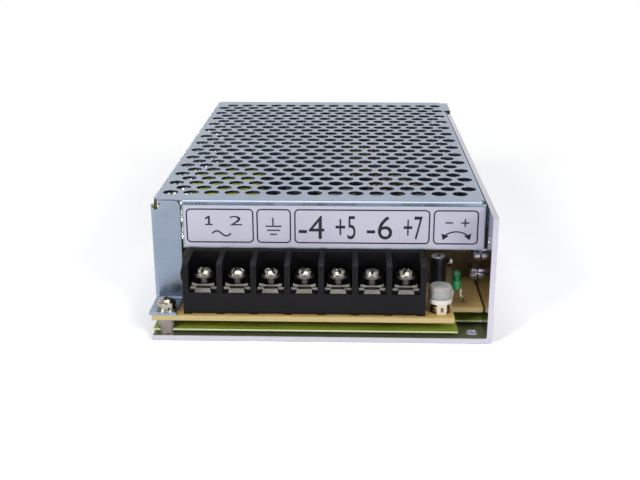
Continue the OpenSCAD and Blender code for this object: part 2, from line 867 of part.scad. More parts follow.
// spring clips that hold the fuse's two ends
module fuse_caps() {
  w = 4;
  r = fuse_r + 0.4;
  color([0.75, 0.72, 0.66])
  for (s = [-1, 1])
    translate([fuse[0] + s * (fuse_l / 2 - w / 2) - w / 2, fuse[1], fuse_z]) difference() {
      union() {
        hole_x(0, 0, r, 0, w);
        translate([0.5, -r, board_top - fuse_z]) cube([w - 1, 2 * r, fuse_z - board_top]);
      }
      hole_x(0, 0, fuse_r + slip / 2, -1, w + 1);
      translate([-1, -fuse_r + 0.4, board_top - fuse_z + 0.6])
        cube([w + 2, 2 * fuse_r - 0.8, fuse_z - board_top]);
      translate([-1, -1, 0]) cube([w + 2, 2, r + 1]);
    }
}

limb_w = 4.5;            // line choke's core: limb width, and the frame's outside
frame_w = 19;
frame_t = 6;
frame_h = 21.5;
module line_choke_core() {
  color([0.25, 0.25, 0.27])
  translate([line_choke[0], line_choke[1], board_top]) difference() {
    translate([-frame_w / 2, -frame_t / 2, 0]) cube([frame_w, frame_t, frame_h]);
    translate([-frame_w / 2 + limb_w, -frame_t, limb_w])
      cube([frame_w - 2 * limb_w, 2 * frame_t, frame_h - 2 * limb_w]);
  }
}

// a coil of stacked turns round each upright limb
module line_choke_windings() {
  h = frame_h - 2 * limb_w - 2 * slip;
  color([0.6, 0.32, 0.14])
  for (s = [-1, 1])
    translate([line_choke[0] + s * (frame_w - limb_w) / 2, line_choke[1],
               board_top + limb_w + slip])
      difference() {
        stacked_turns(limb_w + 4 * wire_d, frame_t + 3.6 * wire_d, h, 8);
        translate([-limb_w / 2 - slip, -frame_t / 2 - slip, -1])
          cube([limb_w + 2 * slip, frame_t + 2 * slip, h + 2]);
      }
}

// flat moulded body with a cut corner, standing on four leads
module bridge_rectifier() {
  size = bridge_size;
  stand = 2.5;
  color([0.14, 0.14, 0.15])
  translate([bridge[0], bridge[1], board_top]) {
    along_x(-size[0] / 2, size[0] / 2) polygon([
      [-size[1] / 2, stand], [size[1] / 2, stand], [size[1] / 2, size[2]],
      [-size[1] / 2 + 2.5, size[2]], [-size[1] / 2, size[2] - 2.5]
    ]);
    for (i = [-1.5 : 1.5]) hole_z([0, i * size[1] / 4.5], 0.5, 0, stand + 0.5);
  }
}

module bulk_capacitors() {
  color([0.2, 0.18, 0.2])
  for (p = bulk_caps) can(p, bulk_d / 2, bulk_h);
}

// transformer: width and depth of the core, width of its outer limbs, overall length
core_w = 30;
core_t = 11;
core_limb = 5;
transformer_l = 26;
module transformer_core() {
  color([0.24, 0.24, 0.26])
  translate([transformer[0], transformer[1], board_top]) difference() {
    translate([-core_w / 2, -core_t / 2, 2]) cube([core_w, core_t, transformer_h - 2]);
    translate([-core_w / 2 + core_limb, -core_t, 2 + core_limb - 1])
      cube([core_w - 2 * core_limb, 2 * core_t, transformer_h - 2 * core_limb]);
  }
}

// pin rails at both ends and a floor between them, with a flange over the windings
module transformer_bobbin() {
  rail = 4;
  w = core_w - 2 * core_limb - 0.6;
  flange_z = transformer_h - core_limb + 0.4;
  color([0.12, 0.12, 0.12])
  translate([transformer[0], transformer[1], board_top]) {
    for (s = [-1, 1]) {
      translate([-core_w / 2 + 1, s * (transformer_l - rail) / 2 - rail / 2, 0])
        cube([core_w - 2, rail, rail]);
      for (i = [-2 : 2])
        translate([i * 5 - 0.6, s * transformer_l / 2 - 0.4, 1]) cube([1.2, 0.8, 1.2]);
    }
    translate([-w / 2, -transformer_l / 2 + 1, 0]) cube([w, transformer_l - 2, 1.8]);
    for (s = [-1, 1])
      translate([-w / 2, s * (transformer_l / 2 - 2.4) - 2.4, rail - 0.5])
        cube([w, 4.8, 1.5]);
  }
}

// taped windings, bulging out of the core at the front and back
module transformer_winding() {
  w = core_w - 2 * core_limb - 2;
  h = transformer_h - 2 * core_limb - 0.6;
  color([0.86, 0.8, 0.3])
  translate([transformer[0], transformer[1], board_top + core_limb + 1.2]) {
    linear_extrude(h) rounded_plan(w, transformer_l - 1, 5);
    // the tape's last turn, overlapping round the middle
    translate([0, 0, h * 0.2]) linear_extrude(h * 0.6) rounded_plan(w + 0.3, transformer_l - 0.6, 5);
  }
}

// output choke: a ring standing on edge, wound all round
ring_out = choke_d / 2 - 1.5;
ring_in = choke_d / 4;
ring_t = 9;
wrap = wire_d + slip;
choke_z = board_top + ring_out + wrap + slip / 4;
module output_choke_core() {
  bevel = 0.8;
  color([0.85, 0.8, 0.3])
  translate([choke[0], choke[1], choke_z]) rotate([90, 0, 0]) rotate_extrude()
    polygon([
      [ring_in + bevel, -ring_t / 2], [ring_out - bevel, -ring_t / 2],
      [ring_out, -ring_t / 2 + bevel], [ring_out, ring_t / 2 - bevel],
      [ring_out - bevel, ring_t / 2], [ring_in + bevel, ring_t / 2],
      [ring_in, ring_t / 2 - bevel], [ring_in, -ring_t / 2 + bevel]
    ]);
}

// one turn seen along the ring: a rounded frame round the ring's section
module turn_section() {
  w = ring_out - ring_in;
  translate([(ring_out + ring_in) / 2, 0]) difference() {
    rounded_plan(w + 2 * wrap, ring_t + 2 * wrap, wrap);
    square([w + 2 * slip, ring_t + 2 * slip], center = true);
  }
}

module output_choke_winding() {
  turns = 20;
  color([0.62, 0.3, 0.16])
  translate([choke[0], choke[1], choke_z]) rotate([90, 0, 0]) {
    for (k = [0 : turns - 1])
      rotate(k * 360 / turns) rotate([90, 0, 0])
        translate([0, 0, -wire_d / 2]) linear_extrude(wire_d) turn_section();
    // the turns crowd together inside the ring
    difference() {
      cylinder(r = ring_in - slip, h = ring_t + wrap, center = true);
      cylinder(r = ring_in - wrap + slip, h = ring_t + 2 * wrap, center = true);
    }
  }
}

module output_capacitors() {
  color([0.16, 0.14, 0.18])
  for (p = output_caps) can(p, output_cap_d / 2, output_cap_h);
}

// ---------- parts clamped to the side wall ----------

pad_t = 0.3;
dev_t = 4.5;
dev_w = 10;
dev_h = 16;
dev_low = board_top + 3.4;
dev_x = wall_in - slip - pad_t - dev_t;

module thermal_pads() {
  color([0.8, 0.8, 0.78])
  for (y = devices)
    translate([wall_in - slip - pad_t, y - pad_w / 2, dev_low - 1]) cube([pad_t, pad_w, dev_h + 3]);
}

// moulded bodies with bevelled front edges, on three leads each
module power_transistors() {
  bevel = 0.6;
  color([0.12, 0.12, 0.13])
  for (y = devices) {
    translate([0, 0, dev_low]) linear_extrude(dev_h) polygon([
      [dev_x, y - dev_w / 2 + bevel], [dev_x + bevel, y - dev_w / 2],
      [dev_x + dev_t, y - dev_w / 2], [dev_x + dev_t, y + dev_w / 2],
      [dev_x + bevel, y + dev_w / 2], [dev_x, y + dev_w / 2 - bevel]
    ]);
    for (s = [-1, 0, 1])
      translate([dev_x + 1.6, y + s * 2.54 - 0.4, board_top])
        cube([0.6, 0.8, dev_low - board_top + 0.5]);
  }
}

bar_t = 1.5;
bar_h = 9;
module clamp_bar() {
  y0 = devices[0] - dev_w / 2 - 1;
  y1 = devices[3] + dev_w / 2 + 0.5;
  color([0.86, 0.87, 0.88])
  difference() {
    translate([dev_x - bar_t, y0, bar_z - bar_h / 2 - 0.5]) cube([bar_t, y1 - y0, bar_h]);
    for (y = bar_screw_ys)
      hole_x(y, bar_z, screw_m3 + slip / 2, dev_x - 2 * bar_t, dev_x + 1);
  }
}

module clamp_bar_screws() {
  color([0.75, 0.74, 0.7])
  for (y = bar_screw_ys)
    translate([0, y, bar_z]) out_of_wall() countersunk_screw(right - dev_x + bar_t + 1);
}

// small white packages on two rows of legs
module optocouplers() {
  size = isolator_size;
  leg = 0.5;
  color([0.92, 0.92, 0.9])
  for (p = isolators) translate([p[0], p[1], board_top]) {
    translate([0, 0, leg]) {
      linear_extrude(size[2] / 2) square([size[0], size[1]], center = true);
      linear_extrude(size[2]) square([size[0] - 0.6, size[1] - 0.4], center = true);
    }
    for (i = [-1, 1], j = [-1, 1])
      translate([i * (size[0] / 2 + leg / 2) - leg / 2, j * 1.27 - leg, 0])
        cube([leg, 2 * leg, leg + size[2] / 2]);
  }
}

// small upright board near the side wall
module control_board() {
  size = [5.3, 1.4, 8];
  color([0.5, 0.36, 0.2])
  translate([board_x1 - 1.2 - size[0], at(0, 0.2115)[1] - size[1] / 2, board_top]) cube(size);
}

// film resistors lying just above the board, with thicker ends and bent leads
module resistors() {
  r = resistor_r;
  h = resistor_l / 2;
  z = r + 0.6;
  reach = h + 1.5;
  color([0.72, 0.6, 0.42])
  for (p = axial_resistors) translate([p[0], p[1], board_top]) {
    translate([0, 0, z]) rotate([0, 90, 0]) rotate_extrude()
      polygon([
        [0, -h], [r - 0.4, -h], [r, -h + 0.5], [r, -h + 2], [r - 0.3, -h + 2.6],
        [r - 0.3, h - 2.6], [r, h - 2], [r, h - 0.5], [r - 0.4, h], [0, h]
      ]);
    hole_x(0, z, 0.35, -reach, reach);
    for (s = [-1, 1]) hole_z([s * reach, 0], 0.35, 0, z);
  }
}

// ---------- drawing ----------

chassis();
cover();
front_label();
main_board();
insulation_sheet();
board_standoffs();
board_screws();
spring_washer();
flat_washer();
cover_screws();
base_screws();
terminal_block();
terminal_plates();
terminal_screw(0);  // terminal_screw_1
terminal_screw(1);  // terminal_screw_2
terminal_screw(2);  // terminal_screw_3
terminal_screw(3);  // terminal_screw_4
terminal_screw(4);  // terminal_screw_5
terminal_screw(5);  // terminal_screw_6
terminal_screw(6);  // terminal_screw_7
wire_clamp(0);  // wire_clamp_1
wire_clamp(1);  // wire_clamp_2
wire_clamp(2);  // wire_clamp_3
wire_clamp(3);  // wire_clamp_4
wire_clamp(4);  // wire_clamp_5
wire_clamp(5);  // wire_clamp_6
wire_clamp(6);  // wire_clamp_7
trimmer_body();
trimmer_knob();
lamp_lens();
lamp_leads();
small_capacitor();
x_capacitors();
y_capacitors();
fuse_tube();
fuse_caps();
thermistor();
line_choke_core();
line_choke_windings();
bridge_rectifier();
bulk_capacitors();
transformer_core();
transformer_bobbin();
transformer_winding();
output_choke_core();
output_choke_winding();
output_capacitors();
power_transistors();
thermal_pads();
clamp_bar();
clamp_bar_screws();
optocouplers();
control_board();
resistors();
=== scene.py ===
# %% [markdown]
# # Dressing a mesh case power supply
# The supply is a folded aluminium angle that carries a circuit board, closed by a folded and
# perforated steel cover, with a row of screw terminals at the open front.
# Its construction comes ready made as a frame of solids, in metres, with the origin under the
# middle of the case. This lesson gives every solid its finish, swaps a plain one for a piece with
# finer form, adds a few small pieces and the printed signs, and lights the whole on a pale floor.

# %% Load the construction
import json
import math
import bpy
import bmesh
from mathutils import Matrix, Vector


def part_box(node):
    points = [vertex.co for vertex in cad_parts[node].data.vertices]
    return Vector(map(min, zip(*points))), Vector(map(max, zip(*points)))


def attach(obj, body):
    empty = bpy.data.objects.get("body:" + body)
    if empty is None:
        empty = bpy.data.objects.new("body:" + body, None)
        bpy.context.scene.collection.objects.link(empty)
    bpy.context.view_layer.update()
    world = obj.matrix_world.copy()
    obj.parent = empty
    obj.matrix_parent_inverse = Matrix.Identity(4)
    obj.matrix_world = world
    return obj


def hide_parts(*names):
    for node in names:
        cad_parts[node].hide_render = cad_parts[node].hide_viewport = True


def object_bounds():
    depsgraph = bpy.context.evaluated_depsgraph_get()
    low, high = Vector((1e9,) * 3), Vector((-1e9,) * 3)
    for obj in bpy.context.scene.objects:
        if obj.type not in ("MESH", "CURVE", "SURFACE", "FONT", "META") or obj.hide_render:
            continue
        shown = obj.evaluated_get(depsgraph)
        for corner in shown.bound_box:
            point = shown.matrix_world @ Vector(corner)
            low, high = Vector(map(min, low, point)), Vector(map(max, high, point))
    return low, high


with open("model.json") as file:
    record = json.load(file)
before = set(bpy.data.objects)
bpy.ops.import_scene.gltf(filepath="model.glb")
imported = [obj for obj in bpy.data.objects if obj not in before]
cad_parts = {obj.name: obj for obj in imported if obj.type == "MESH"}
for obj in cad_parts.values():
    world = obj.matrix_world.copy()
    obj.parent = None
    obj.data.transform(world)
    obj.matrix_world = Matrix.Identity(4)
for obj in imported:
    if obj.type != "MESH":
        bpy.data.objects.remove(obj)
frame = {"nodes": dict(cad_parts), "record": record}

MM = 0.001
cad_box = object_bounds()
case_low, case_high = cad_box
print("case", [round(v / MM, 1) for v in case_high - case_low], "mm,", len(frame["nodes"]), "nodes")

# %% [markdown]
# ## The camera
# The supply is seen from its terminal end and a little above, with a lens long enough to keep the
# edges nearly parallel. The camera could be aimed with a Track To constraint, but a matrix built
# from its heading, pitch and roll is exact and stays the same however the scene grows.

# %% Camera
def camera_axes(yaw, pitch, roll):
    """Right, up and backward directions of a camera that looks along +Y at zero angles."""
    y, p, r = map(math.radians, (yaw, pitch, roll))
    forward = Vector((math.sin(y) * math.cos(p), math.cos(y) * math.cos(p), -math.sin(p)))
    right = Vector((math.cos(y), -math.sin(y), 0))
    up = right.cross(forward)
    return (right * math.cos(r) + up * math.sin(r),
            up * math.cos(r) - right * math.sin(r), -forward)


FOCAL_LENGTH = 54.43        # millimetres, on a sensor 36 mm wide
CAMERA_AT = (0.008617, -0.329084, 0.116519)
lens = bpy.data.cameras.new("camera")
lens.lens = FOCAL_LENGTH
lens.sensor_width = 36.0
camera = bpy.data.objects.new("camera", lens)
bpy.context.scene.collection.objects.link(camera)
axes = Matrix(camera_axes(yaw=-1.936, pitch=19.010, roll=-0.161)).transposed()
camera.matrix_world = Matrix.Translation(CAMERA_AT) @ axes.to_4x4()
bpy.context.scene.camera = camera
print("camera is", round(camera.location.length / MM), "mm from the middle of the case")

# %% [markdown]
# ## Shader nodes in a few words
# A material is a small graph of nodes. Writing each one out takes five lines, so two helpers are
# made first: one adds a node with its settings and inputs, the other starts a node group with
# named sockets. A group is worth making when several finishes share an effect.

# %% Node helpers
def add(tree, kind, inputs=None, **settings):
    """Adds a node. Inputs are given by name or number, as plain values or as outputs to link."""
    made = tree.nodes.new("ShaderNode" + kind)
    for name, value in settings.items():
        setattr(made, name, value)
    for socket, value in (inputs or {}).items():
        if isinstance(value, bpy.types.NodeSocket):
            tree.links.new(value, made.inputs[socket])
        else:
            made.inputs[socket].default_value = value
    return made


def blend_colours(tree, factor, a, b, mode="MIX"):
    """Mixes two colours and returns the result's socket."""
    mixed = add(tree, "Mix", data_type="RGBA", blend_type=mode)
    for socket, value in ((0, factor), (6, a), (7, b)):
        if isinstance(value, bpy.types.NodeSocket):
            tree.links.new(value, mixed.inputs[socket])
        else:
            mixed.inputs[socket].default_value = value
    return mixed.outputs[2]


def sums(tree, operation, a, b, limit=False):
    """A Math node's result."""
    return add(tree, "Math", {0: a, 1: b}, operation=operation, use_clamp=limit).outputs[0]


def spread(tree, value, low, high, new_low=0.0, new_high=1.0):
    """Maps low..high onto new_low..new_high, and stops at both ends."""
    return add(tree, "MapRange", {"Value": value, "From Min": low, "From Max": high,
                                  "To Min": new_low, "To Max": new_high}).outputs[0]


def start_group(name, inputs, outputs):
    """A new node group: its tree, its input node and its output node."""
    tree = bpy.data.node_groups.new(name, "ShaderNodeTree")
    for label, kind, value in inputs:
        socket = tree.interface.new_socket(label, in_out="INPUT", socket_type="NodeSocket" + kind)
        socket.default_value = value
    for label, kind in outputs:
        tree.interface.new_socket(label, in_out="OUTPUT", socket_type="NodeSocket" + kind)
    return tree, tree.nodes.new("NodeGroupInput"), tree.nodes.new("NodeGroupOutput")


print("node helpers are ready")

# %% [markdown]
# ## Skin: what every surface has in common
# No real surface is even. It has slow changes of tone some centimetres wide, and a fine grain that
# the tool or the mould left. Rolled sheet has that grain drawn out along the rolling direction, so
# the group stretches it by a factor along Y. Both values are noise, so nothing repeats.

# %% Skin group
def build_skin():
    tree, given, out = start_group(
        "Skin",
        [("Cloud Size", "Float", 0.02), ("Grain Size", "Float", 0.0004),
         ("Drawn Out", "Float", 1.0)],
        [("Cloud", "Float"), ("Grain", "Float")])
    where = add(tree, "TexCoord").outputs["Object"]
    cloud_scale = sums(tree, "DIVIDE", 1.0, given.outputs["Cloud Size"])
    cloud = add(tree, "TexNoise", {"Vector": where, "Scale": cloud_scale, "Detail": 3.0})
    along = sums(tree, "DIVIDE", 1.0, given.outputs["Drawn Out"])
    stretch = add(tree, "CombineXYZ", {"X": 1.0, "Y": along, "Z": 1.0}).outputs[0]
    drawn = add(tree, "VectorMath", {0: where, 1: stretch}, operation="MULTIPLY").outputs[0]
    grain_scale = sums(tree, "DIVIDE", 1.0, given.outputs["Grain Size"])
    grain = add(tree, "TexNoise", {"Vector": drawn, "Scale": grain_scale, "Detail": 2.0})
    tree.links.new(spread(tree, cloud.outputs[0], 0.3, 0.7), out.inputs["Cloud"])
    tree.links.new(spread(tree, grain.outputs[0], 0.25, 0.75), out.inputs["Grain"])
    return tree


skin_group = build_skin()
print("skin group:", len(skin_group.nodes), "nodes")

# %% [markdown]
# ## Worn edges and painted edge highlights
# A sheared edge is brighter than the face beside it, and no edge is perfectly sharp. Cycles has a
# Bevel node that rounds the shading near an edge. Where that rounded normal leaves the true one
# there is an edge, so one node gives both a soft highlight and a mask. The lighter colour that the
# finishes mix in along that mask is partly the bare metal of a worn edge and partly a painted
# highlight along the edge.

# %% Edge group
def build_edges():
    tree, given, out = start_group(
        "Edges", [("Radius", "Float", 0.0002), ("Reach", "Float", 0.25)],
        [("Edge", "Float"), ("Normal", "Vector")])
    rounded = add(tree, "Bevel", {"Radius": given.outputs["Radius"]}, samples=6)
    true = add(tree, "NewGeometry").outputs["Normal"]
    meet = add(tree, "VectorMath", {0: rounded.outputs[0], 1: true}, operation="DOT_PRODUCT")
    off = sums(tree, "SUBTRACT", 1.0, meet.outputs["Value"])
    edge = sums(tree, "DIVIDE", off, given.outputs["Reach"], limit=True)
    tree.links.new(edge, out.inputs["Edge"])
    tree.links.new(rounded.outputs[0], out.inputs["Normal"])
    return tree


edge_group = build_edges()
print("edge group:", len(edge_group.nodes), "nodes")

# %% [markdown]
# ## Zinc flowers
# The cover is hot-dip galvanised steel. Its zinc froze in flat crystals a few millimetres wide,
# each of which catches the light a little differently. A Voronoi texture gives every point the
# random colour of its nearest cell, and bending the coordinates with noise breaks the straight
# cell borders into feathery ones.

# %% Zinc flower group
def build_zinc_flowers():
    tree, given, out = start_group(
        "Zinc flowers", [("Size", "Float", 0.004), ("Feather", "Float", 0.0012)],
        [("Flower", "Float")])
    where = add(tree, "TexCoord").outputs["Object"]
    wobble = add(tree, "TexNoise", {"Vector": where, "Scale": 900.0, "Detail": 2.0})
    centred = add(tree, "VectorMath", {0: wobble.outputs["Color"], 1: (0.5, 0.5, 0.5)},
                  operation="SUBTRACT").outputs[0]
    shift = add(tree, "VectorMath", {0: centred, "Scale": given.outputs["Feather"]},
                operation="SCALE").outputs[0]
    bent = add(tree, "VectorMath", {0: where, 1: shift}, operation="ADD").outputs[0]
    scale = sums(tree, "DIVIDE", 1.0, given.outputs["Size"])
    cells = add(tree, "TexVoronoi", {"Vector": bent, "Scale": scale})
    grey = add(tree, "SeparateColor", {0: cells.outputs["Color"]}).outputs[0]
    tree.links.new(grey, out.inputs["Flower"])
    return tree


zinc_group = build_zinc_flowers()
print("zinc flower group:", len(zinc_group.nodes), "nodes")

# %% [markdown]
# ## Dust
# Air is drawn through the mesh, so a thin film settles on whatever faces up inside. The mask is the
# upward part of the normal, broken up by noise, and the materials mix a grey into their colour
# with it.

# %% Dust group
def build_dust():
    tree, given, out = start_group("Dust", [("Amount", "Float", 0.2)], [("Dust", "Float")])
    facing = add(tree, "SeparateXYZ", {0: add(tree, "NewGeometry").outputs["Normal"]}).outputs[2]
    up = spread(tree, facing, 0.5, 1.0)
    where = add(tree, "TexCoord").outputs["Object"]
    specks = add(tree, "TexNoise", {"Vector": where, "Scale": 1500.0, "Detail": 4.0}).outputs[0]
    settled = sums(tree, "MULTIPLY", up, spread(tree, specks, 0.4, 0.7))
    tree.links.new(sums(tree, "MULTIPLY", settled, given.outputs["Amount"]), out.inputs["Dust"])
    return tree


dust_group = build_dust()
print("dust group:", len(dust_group.nodes), "nodes")

# %% [markdown]
# ## Where a face lies
# Some changes of finish follow the shape: a sawn edge beside a printed face, bare metal on top of
# a sleeved can. A face's normal and its place say which is which, so this group compares them with
# limits and gives masks. Heights are those of the construction, since every solid keeps its origin.

# %% Place group
def build_place():
    tree, given, out = start_group(
        "Place", [("Height", "Float", 0.0), ("Blur", "Float", 0.0001)],
        [("Above", "Float"), ("Upright", "Float"), ("Facing Up", "Float")])
    where = add(tree, "TexCoord").outputs["Object"]
    height = add(tree, "SeparateXYZ", {0: where}).outputs[2]
    over = sums(tree, "SUBTRACT", height, given.outputs["Height"])
    above = sums(tree, "DIVIDE", over, given.outputs["Blur"], limit=True)
    normal = add(tree, "NewGeometry").outputs["True Normal"]
    up = add(tree, "SeparateXYZ", {0: normal}).outputs[2]
    tilt = add(tree, "Math", {0: up}, operation="ABSOLUTE").outputs[0]
    tree.links.new(above, out.inputs["Above"])
    tree.links.new(spread(tree, tilt, 0.5, 0.3), out.inputs["Upright"])
    tree.links.new(spread(tree, up, 0.7, 0.9), out.inputs["Facing Up"])
    return tree


place_group = build_place()


def use(tree, group, **inputs):
    """Places a group in a material, its inputs given by name with _ for a space."""
    placed = add(tree, "Group", node_tree=group)
    for label, value in inputs.items():
        placed.inputs[label.replace("_", " ").title()].default_value = value
    return placed.outputs


print("place group:", len(place_group.nodes), "nodes")

# %% [markdown]
# ## One recipe for a finish
# Most pieces here need the same things in other amounts: two tones that the clouds mix, a lighter
# edge, a band of roughness that the grain moves through, a shallow bump and some dust. So a finish
# is one call with its own values. Numbers that don't change over the surface, such as the coat or
# the transmission, are set straight on the shader.

# %% Finish recipe
def rgb(*sRGB):
    """A colour written as 0..255 values, as the linear numbers that a shader wants."""
    def linear(c):
        c = c / 255
        return c / 12.92 if c <= 0.04045 else ((c + 0.055) / 1.055) ** 2.4
    return (*map(linear, sRGB), 1.0)


DUST_GREY = rgb(150, 148, 140)


def finish(name, dark, light, rough=(0.4, 0.6), metallic=0.0, edge=None, edge_radius=0.15,
           cloud=20, grain=0.4, drawn_out=1.0, bump=0.1, dust=0.0, **shader_values):
    """A material in two tones with grain, edges, bump and dust. Lengths are in millimetres."""
    material = bpy.data.materials.new(name)
    material.use_nodes = True
    tree = material.node_tree
    tree.nodes.clear()
    shader = add(tree, "BsdfPrincipled", {"Metallic": metallic})
    for socket, value in shader_values.items():
        shader.inputs[socket.replace("_", " ")].default_value = value
    skin = use(tree, skin_group, cloud_size=cloud * MM, grain_size=grain * MM,
               drawn_out=drawn_out)
    edges = use(tree, edge_group, radius=edge_radius * MM)
    colour = blend_colours(tree, skin["Cloud"], dark, light)
    # the lighter edge colour is partly wear and partly a painted highlight along the edge
    if edge:
        colour = blend_colours(tree, edges["Edge"], colour, edge)
    if dust:
        film = use(tree, dust_group, amount=dust)
        colour = blend_colours(tree, film["Dust"], colour, DUST_GREY)
    tree.links.new(colour, shader.inputs["Base Color"])
    tree.links.new(spread(tree, skin["Grain"], 0.0, 1.0, *rough), shader.inputs["Roughness"])
    relief = add(tree, "Bump", {"Strength": 1.0, "Distance": bump * 0.01 * MM,
                                "Height": skin["Grain"], "Normal": edges["Normal"]})
    tree.links.new(relief.outputs[0], shader.inputs["Normal"])
    add(tree, "OutputMaterial", {"Surface": shader.outputs[0]})
    return material


print("every finish uses", skin_group.name, "and", edge_group.name + ", and some", dust_group.name)

# %% [markdown]
# ## Changing a finish in places
# A real piece is seldom one finish all over: a cut face is paler, a thread is duller than its head.
# A second material would need its own faces. A mask inside the same material needs none, so these
# helpers put a new tone over the old one wherever a mask is 1. The last one gives a solid its
# finish.

# %% Retoning and painting
def retone(material, mask, colour=None, rough=None, metallic=None):
    """Changes a finish where a mask is 1: its colour, its roughness or how metallic it is."""
    tree = material.node_tree
    shader = tree.nodes["Principled BSDF"]
    if colour:
        now = shader.inputs["Base Color"].links[0].from_socket
        tree.links.new(blend_colours(tree, mask, now, colour), shader.inputs["Base Color"])
    if rough is not None:
        now = shader.inputs["Roughness"].links[0].from_socket
        step = add(tree, "Mix", {0: mask, 2: now, 3: rough}, data_type="FLOAT")
        tree.links.new(step.outputs[0], shader.inputs["Roughness"])
    if metallic is not None:
        was = shader.inputs["Metallic"].default_value
        tree.links.new(spread(tree, mask, 0.0, 1.0, was, metallic), shader.inputs["Metallic"])


def lower_part(material, height, blur=0.1 * MM):
    """A mask that is 1 below a height."""
    tree = material.node_tree
    return sums(tree, "SUBTRACT", 1.0, use(tree, place_group, height=height, blur=blur)["Above"])


def paint(node, *materials):
    """Gives a carried-over solid its finish."""
    slots = frame["nodes"][node].data.materials
    slots.clear()
    for material in materials:
        slots.append(material)


print("finishes can be changed in places and given to solids")

# %% [markdown]
# ## The galvanised cover
# The cover is one sheet, punched and folded. Galvanised steel is a metal all through, so Metallic
# is 1 and its colour is what it reflects: a cool blue grey. The zinc flowers change the tone by a
# few per cent and the roughness by more, which is how they show on the real sheet. The punched
# and sheared edges are left lighter, partly as bare cut metal and partly as a painted highlight.

# %% Cover steel
cover_steel = finish("cover steel", rgb(140, 153, 172), rgb(154, 166, 184), rough=(0.28, 0.4),
                     metallic=1.0, edge=rgb(200, 205, 214), edge_radius=0.18, cloud=30,
                     grain=0.25, drawn_out=6, bump=0.12)


def add_zinc_flowers(material, strength):
    """Tones the base colour and the roughness of a finish by its zinc crystals."""
    tree = material.node_tree
    shader = tree.nodes["Principled BSDF"]
    flower = use(tree, zinc_group, size=5 * MM, feather=1.6 * MM)["Flower"]
    tone = spread(tree, flower, 0.0, 1.0, 1.0 - strength, 1.0 + strength)
    tone_colour = add(tree, "CombineColor", {0: tone, 1: tone, 2: tone}).outputs[0]
    colour = shader.inputs["Base Color"].links[0].from_socket
    tree.links.new(blend_colours(tree, 1.0, colour, tone_colour, "MULTIPLY"),
                   shader.inputs["Base Color"])
    rough = shader.inputs["Roughness"].links[0].from_socket
    tree.links.new(sums(tree, "ADD", rough, spread(tree, flower, 0, 1, -0.06, 0.06)),
                   shader.inputs["Roughness"])


add_zinc_flowers(cover_steel, 0.05)
print("cover steel:", len(cover_steel.node_tree.nodes), "nodes")

# %% [markdown]
# ## The walls of the punched holes
# A punch leaves a polished band round each hole. In the side wall it catches the light from
# outside, and in the top it mirrors the dark inside, which is why each hole there has a dark upper
# rim. Both looks are painted here as tones of their own: a dark painted reflection on the walls of
# the top's holes and a near white painted highlight on the walls of the side's holes. A hole's wall
# stands at right angles to its sheet, so two masks find them: upright faces just under the top, and
# faces in the side sheet that don't look sideways.

# %% Hole walls
SHEET = 0.85 * MM
tree = cover_steel.node_tree
spot = add(tree, "SeparateXYZ", {0: add(tree, "TexCoord").outputs["Object"]}).outputs
true_normal = add(tree, "NewGeometry").outputs["True Normal"]
normal = add(tree, "SeparateXYZ", {0: true_normal}).outputs
under_top = use(tree, place_group, height=case_high.z - SHEET, blur=0.05 * MM)
top_hole_painted_reflection = sums(tree, "MULTIPLY", under_top["Above"], under_top["Upright"])
FOLD_END = case_low.y + 12.7 * MM   # the folds' own cut faces lie in front of this
behind_fold = spread(tree, spot[1], FOLD_END, FOLD_END + 0.1 * MM)
top_hole_painted_reflection = sums(tree, "MULTIPLY", top_hole_painted_reflection, behind_fold)
# painted reflection: the walls of the top's holes are toned dark
retone(cover_steel, top_hole_painted_reflection, rgb(92, 97, 106), rough=0.3)
sideways = add(tree, "Math", {0: normal[0]}, operation="ABSOLUTE").outputs[0]
side_hole_painted_highlight = sums(tree, "MULTIPLY", spread(tree, sideways, 0.5, 0.3),
               spread(tree, spot[0], case_low.x + SHEET, case_low.x + SHEET - 0.05 * MM))
side_hole_painted_highlight = sums(tree, "MULTIPLY", side_hole_painted_highlight, behind_fold)
# painted highlight: the walls of the side wall's holes are toned near white
retone(cover_steel, side_hole_painted_highlight, rgb(244, 244, 247), rough=0.15)
paint("cover", cover_steel)
print("hole walls in the top lie above", round((case_high.z - SHEET) / MM, 2), "mm")

# %% [markdown]
# ## The aluminium angle
# The base and the side wall are one bent strip of rolled aluminium. It is brighter and smoother
# than the cover, nearly a mirror inside, with rolling lines along its length, so the grain is drawn
# out forty times.

# %% Chassis aluminium
chassis_aluminium = finish("chassis aluminium", rgb(176, 175, 186), rgb(192, 190, 202),
                           rough=(0.1, 0.18), metallic=1.0, edge=rgb(222, 219, 232),
                           edge_radius=0.3, cloud=40, grain=0.3, drawn_out=40, bump=0.06)
tree = chassis_aluminium.node_tree
true_normal = add(tree, "NewGeometry").outputs["True Normal"]
towards_front = sums(tree, "MULTIPLY", add(tree, "SeparateXYZ", {0: true_normal}).outputs[1], -1.0)
retone(chassis_aluminium, spread(tree, towards_front, 0.7, 0.9), rgb(206, 203, 217), rough=0.3)
UNDER_SHEET = case_low.z + 3 * MM   # below this, only the base's own floor looks up
looks_up = use(tree, place_group)["Facing Up"]
# painted reflection: the base's floor under the sheet is tinted green, as if it mirrored the sheet,
# and is made duller
floor_painted_reflection = sums(tree, "MULTIPLY", lower_part(chassis_aluminium, UNDER_SHEET), looks_up)
retone(chassis_aluminium, floor_painted_reflection, rgb(128, 132, 96), rough=0.35, metallic=0.7)
paint("chassis", chassis_aluminium)
print("chassis aluminium:", len(tree.nodes), "nodes")
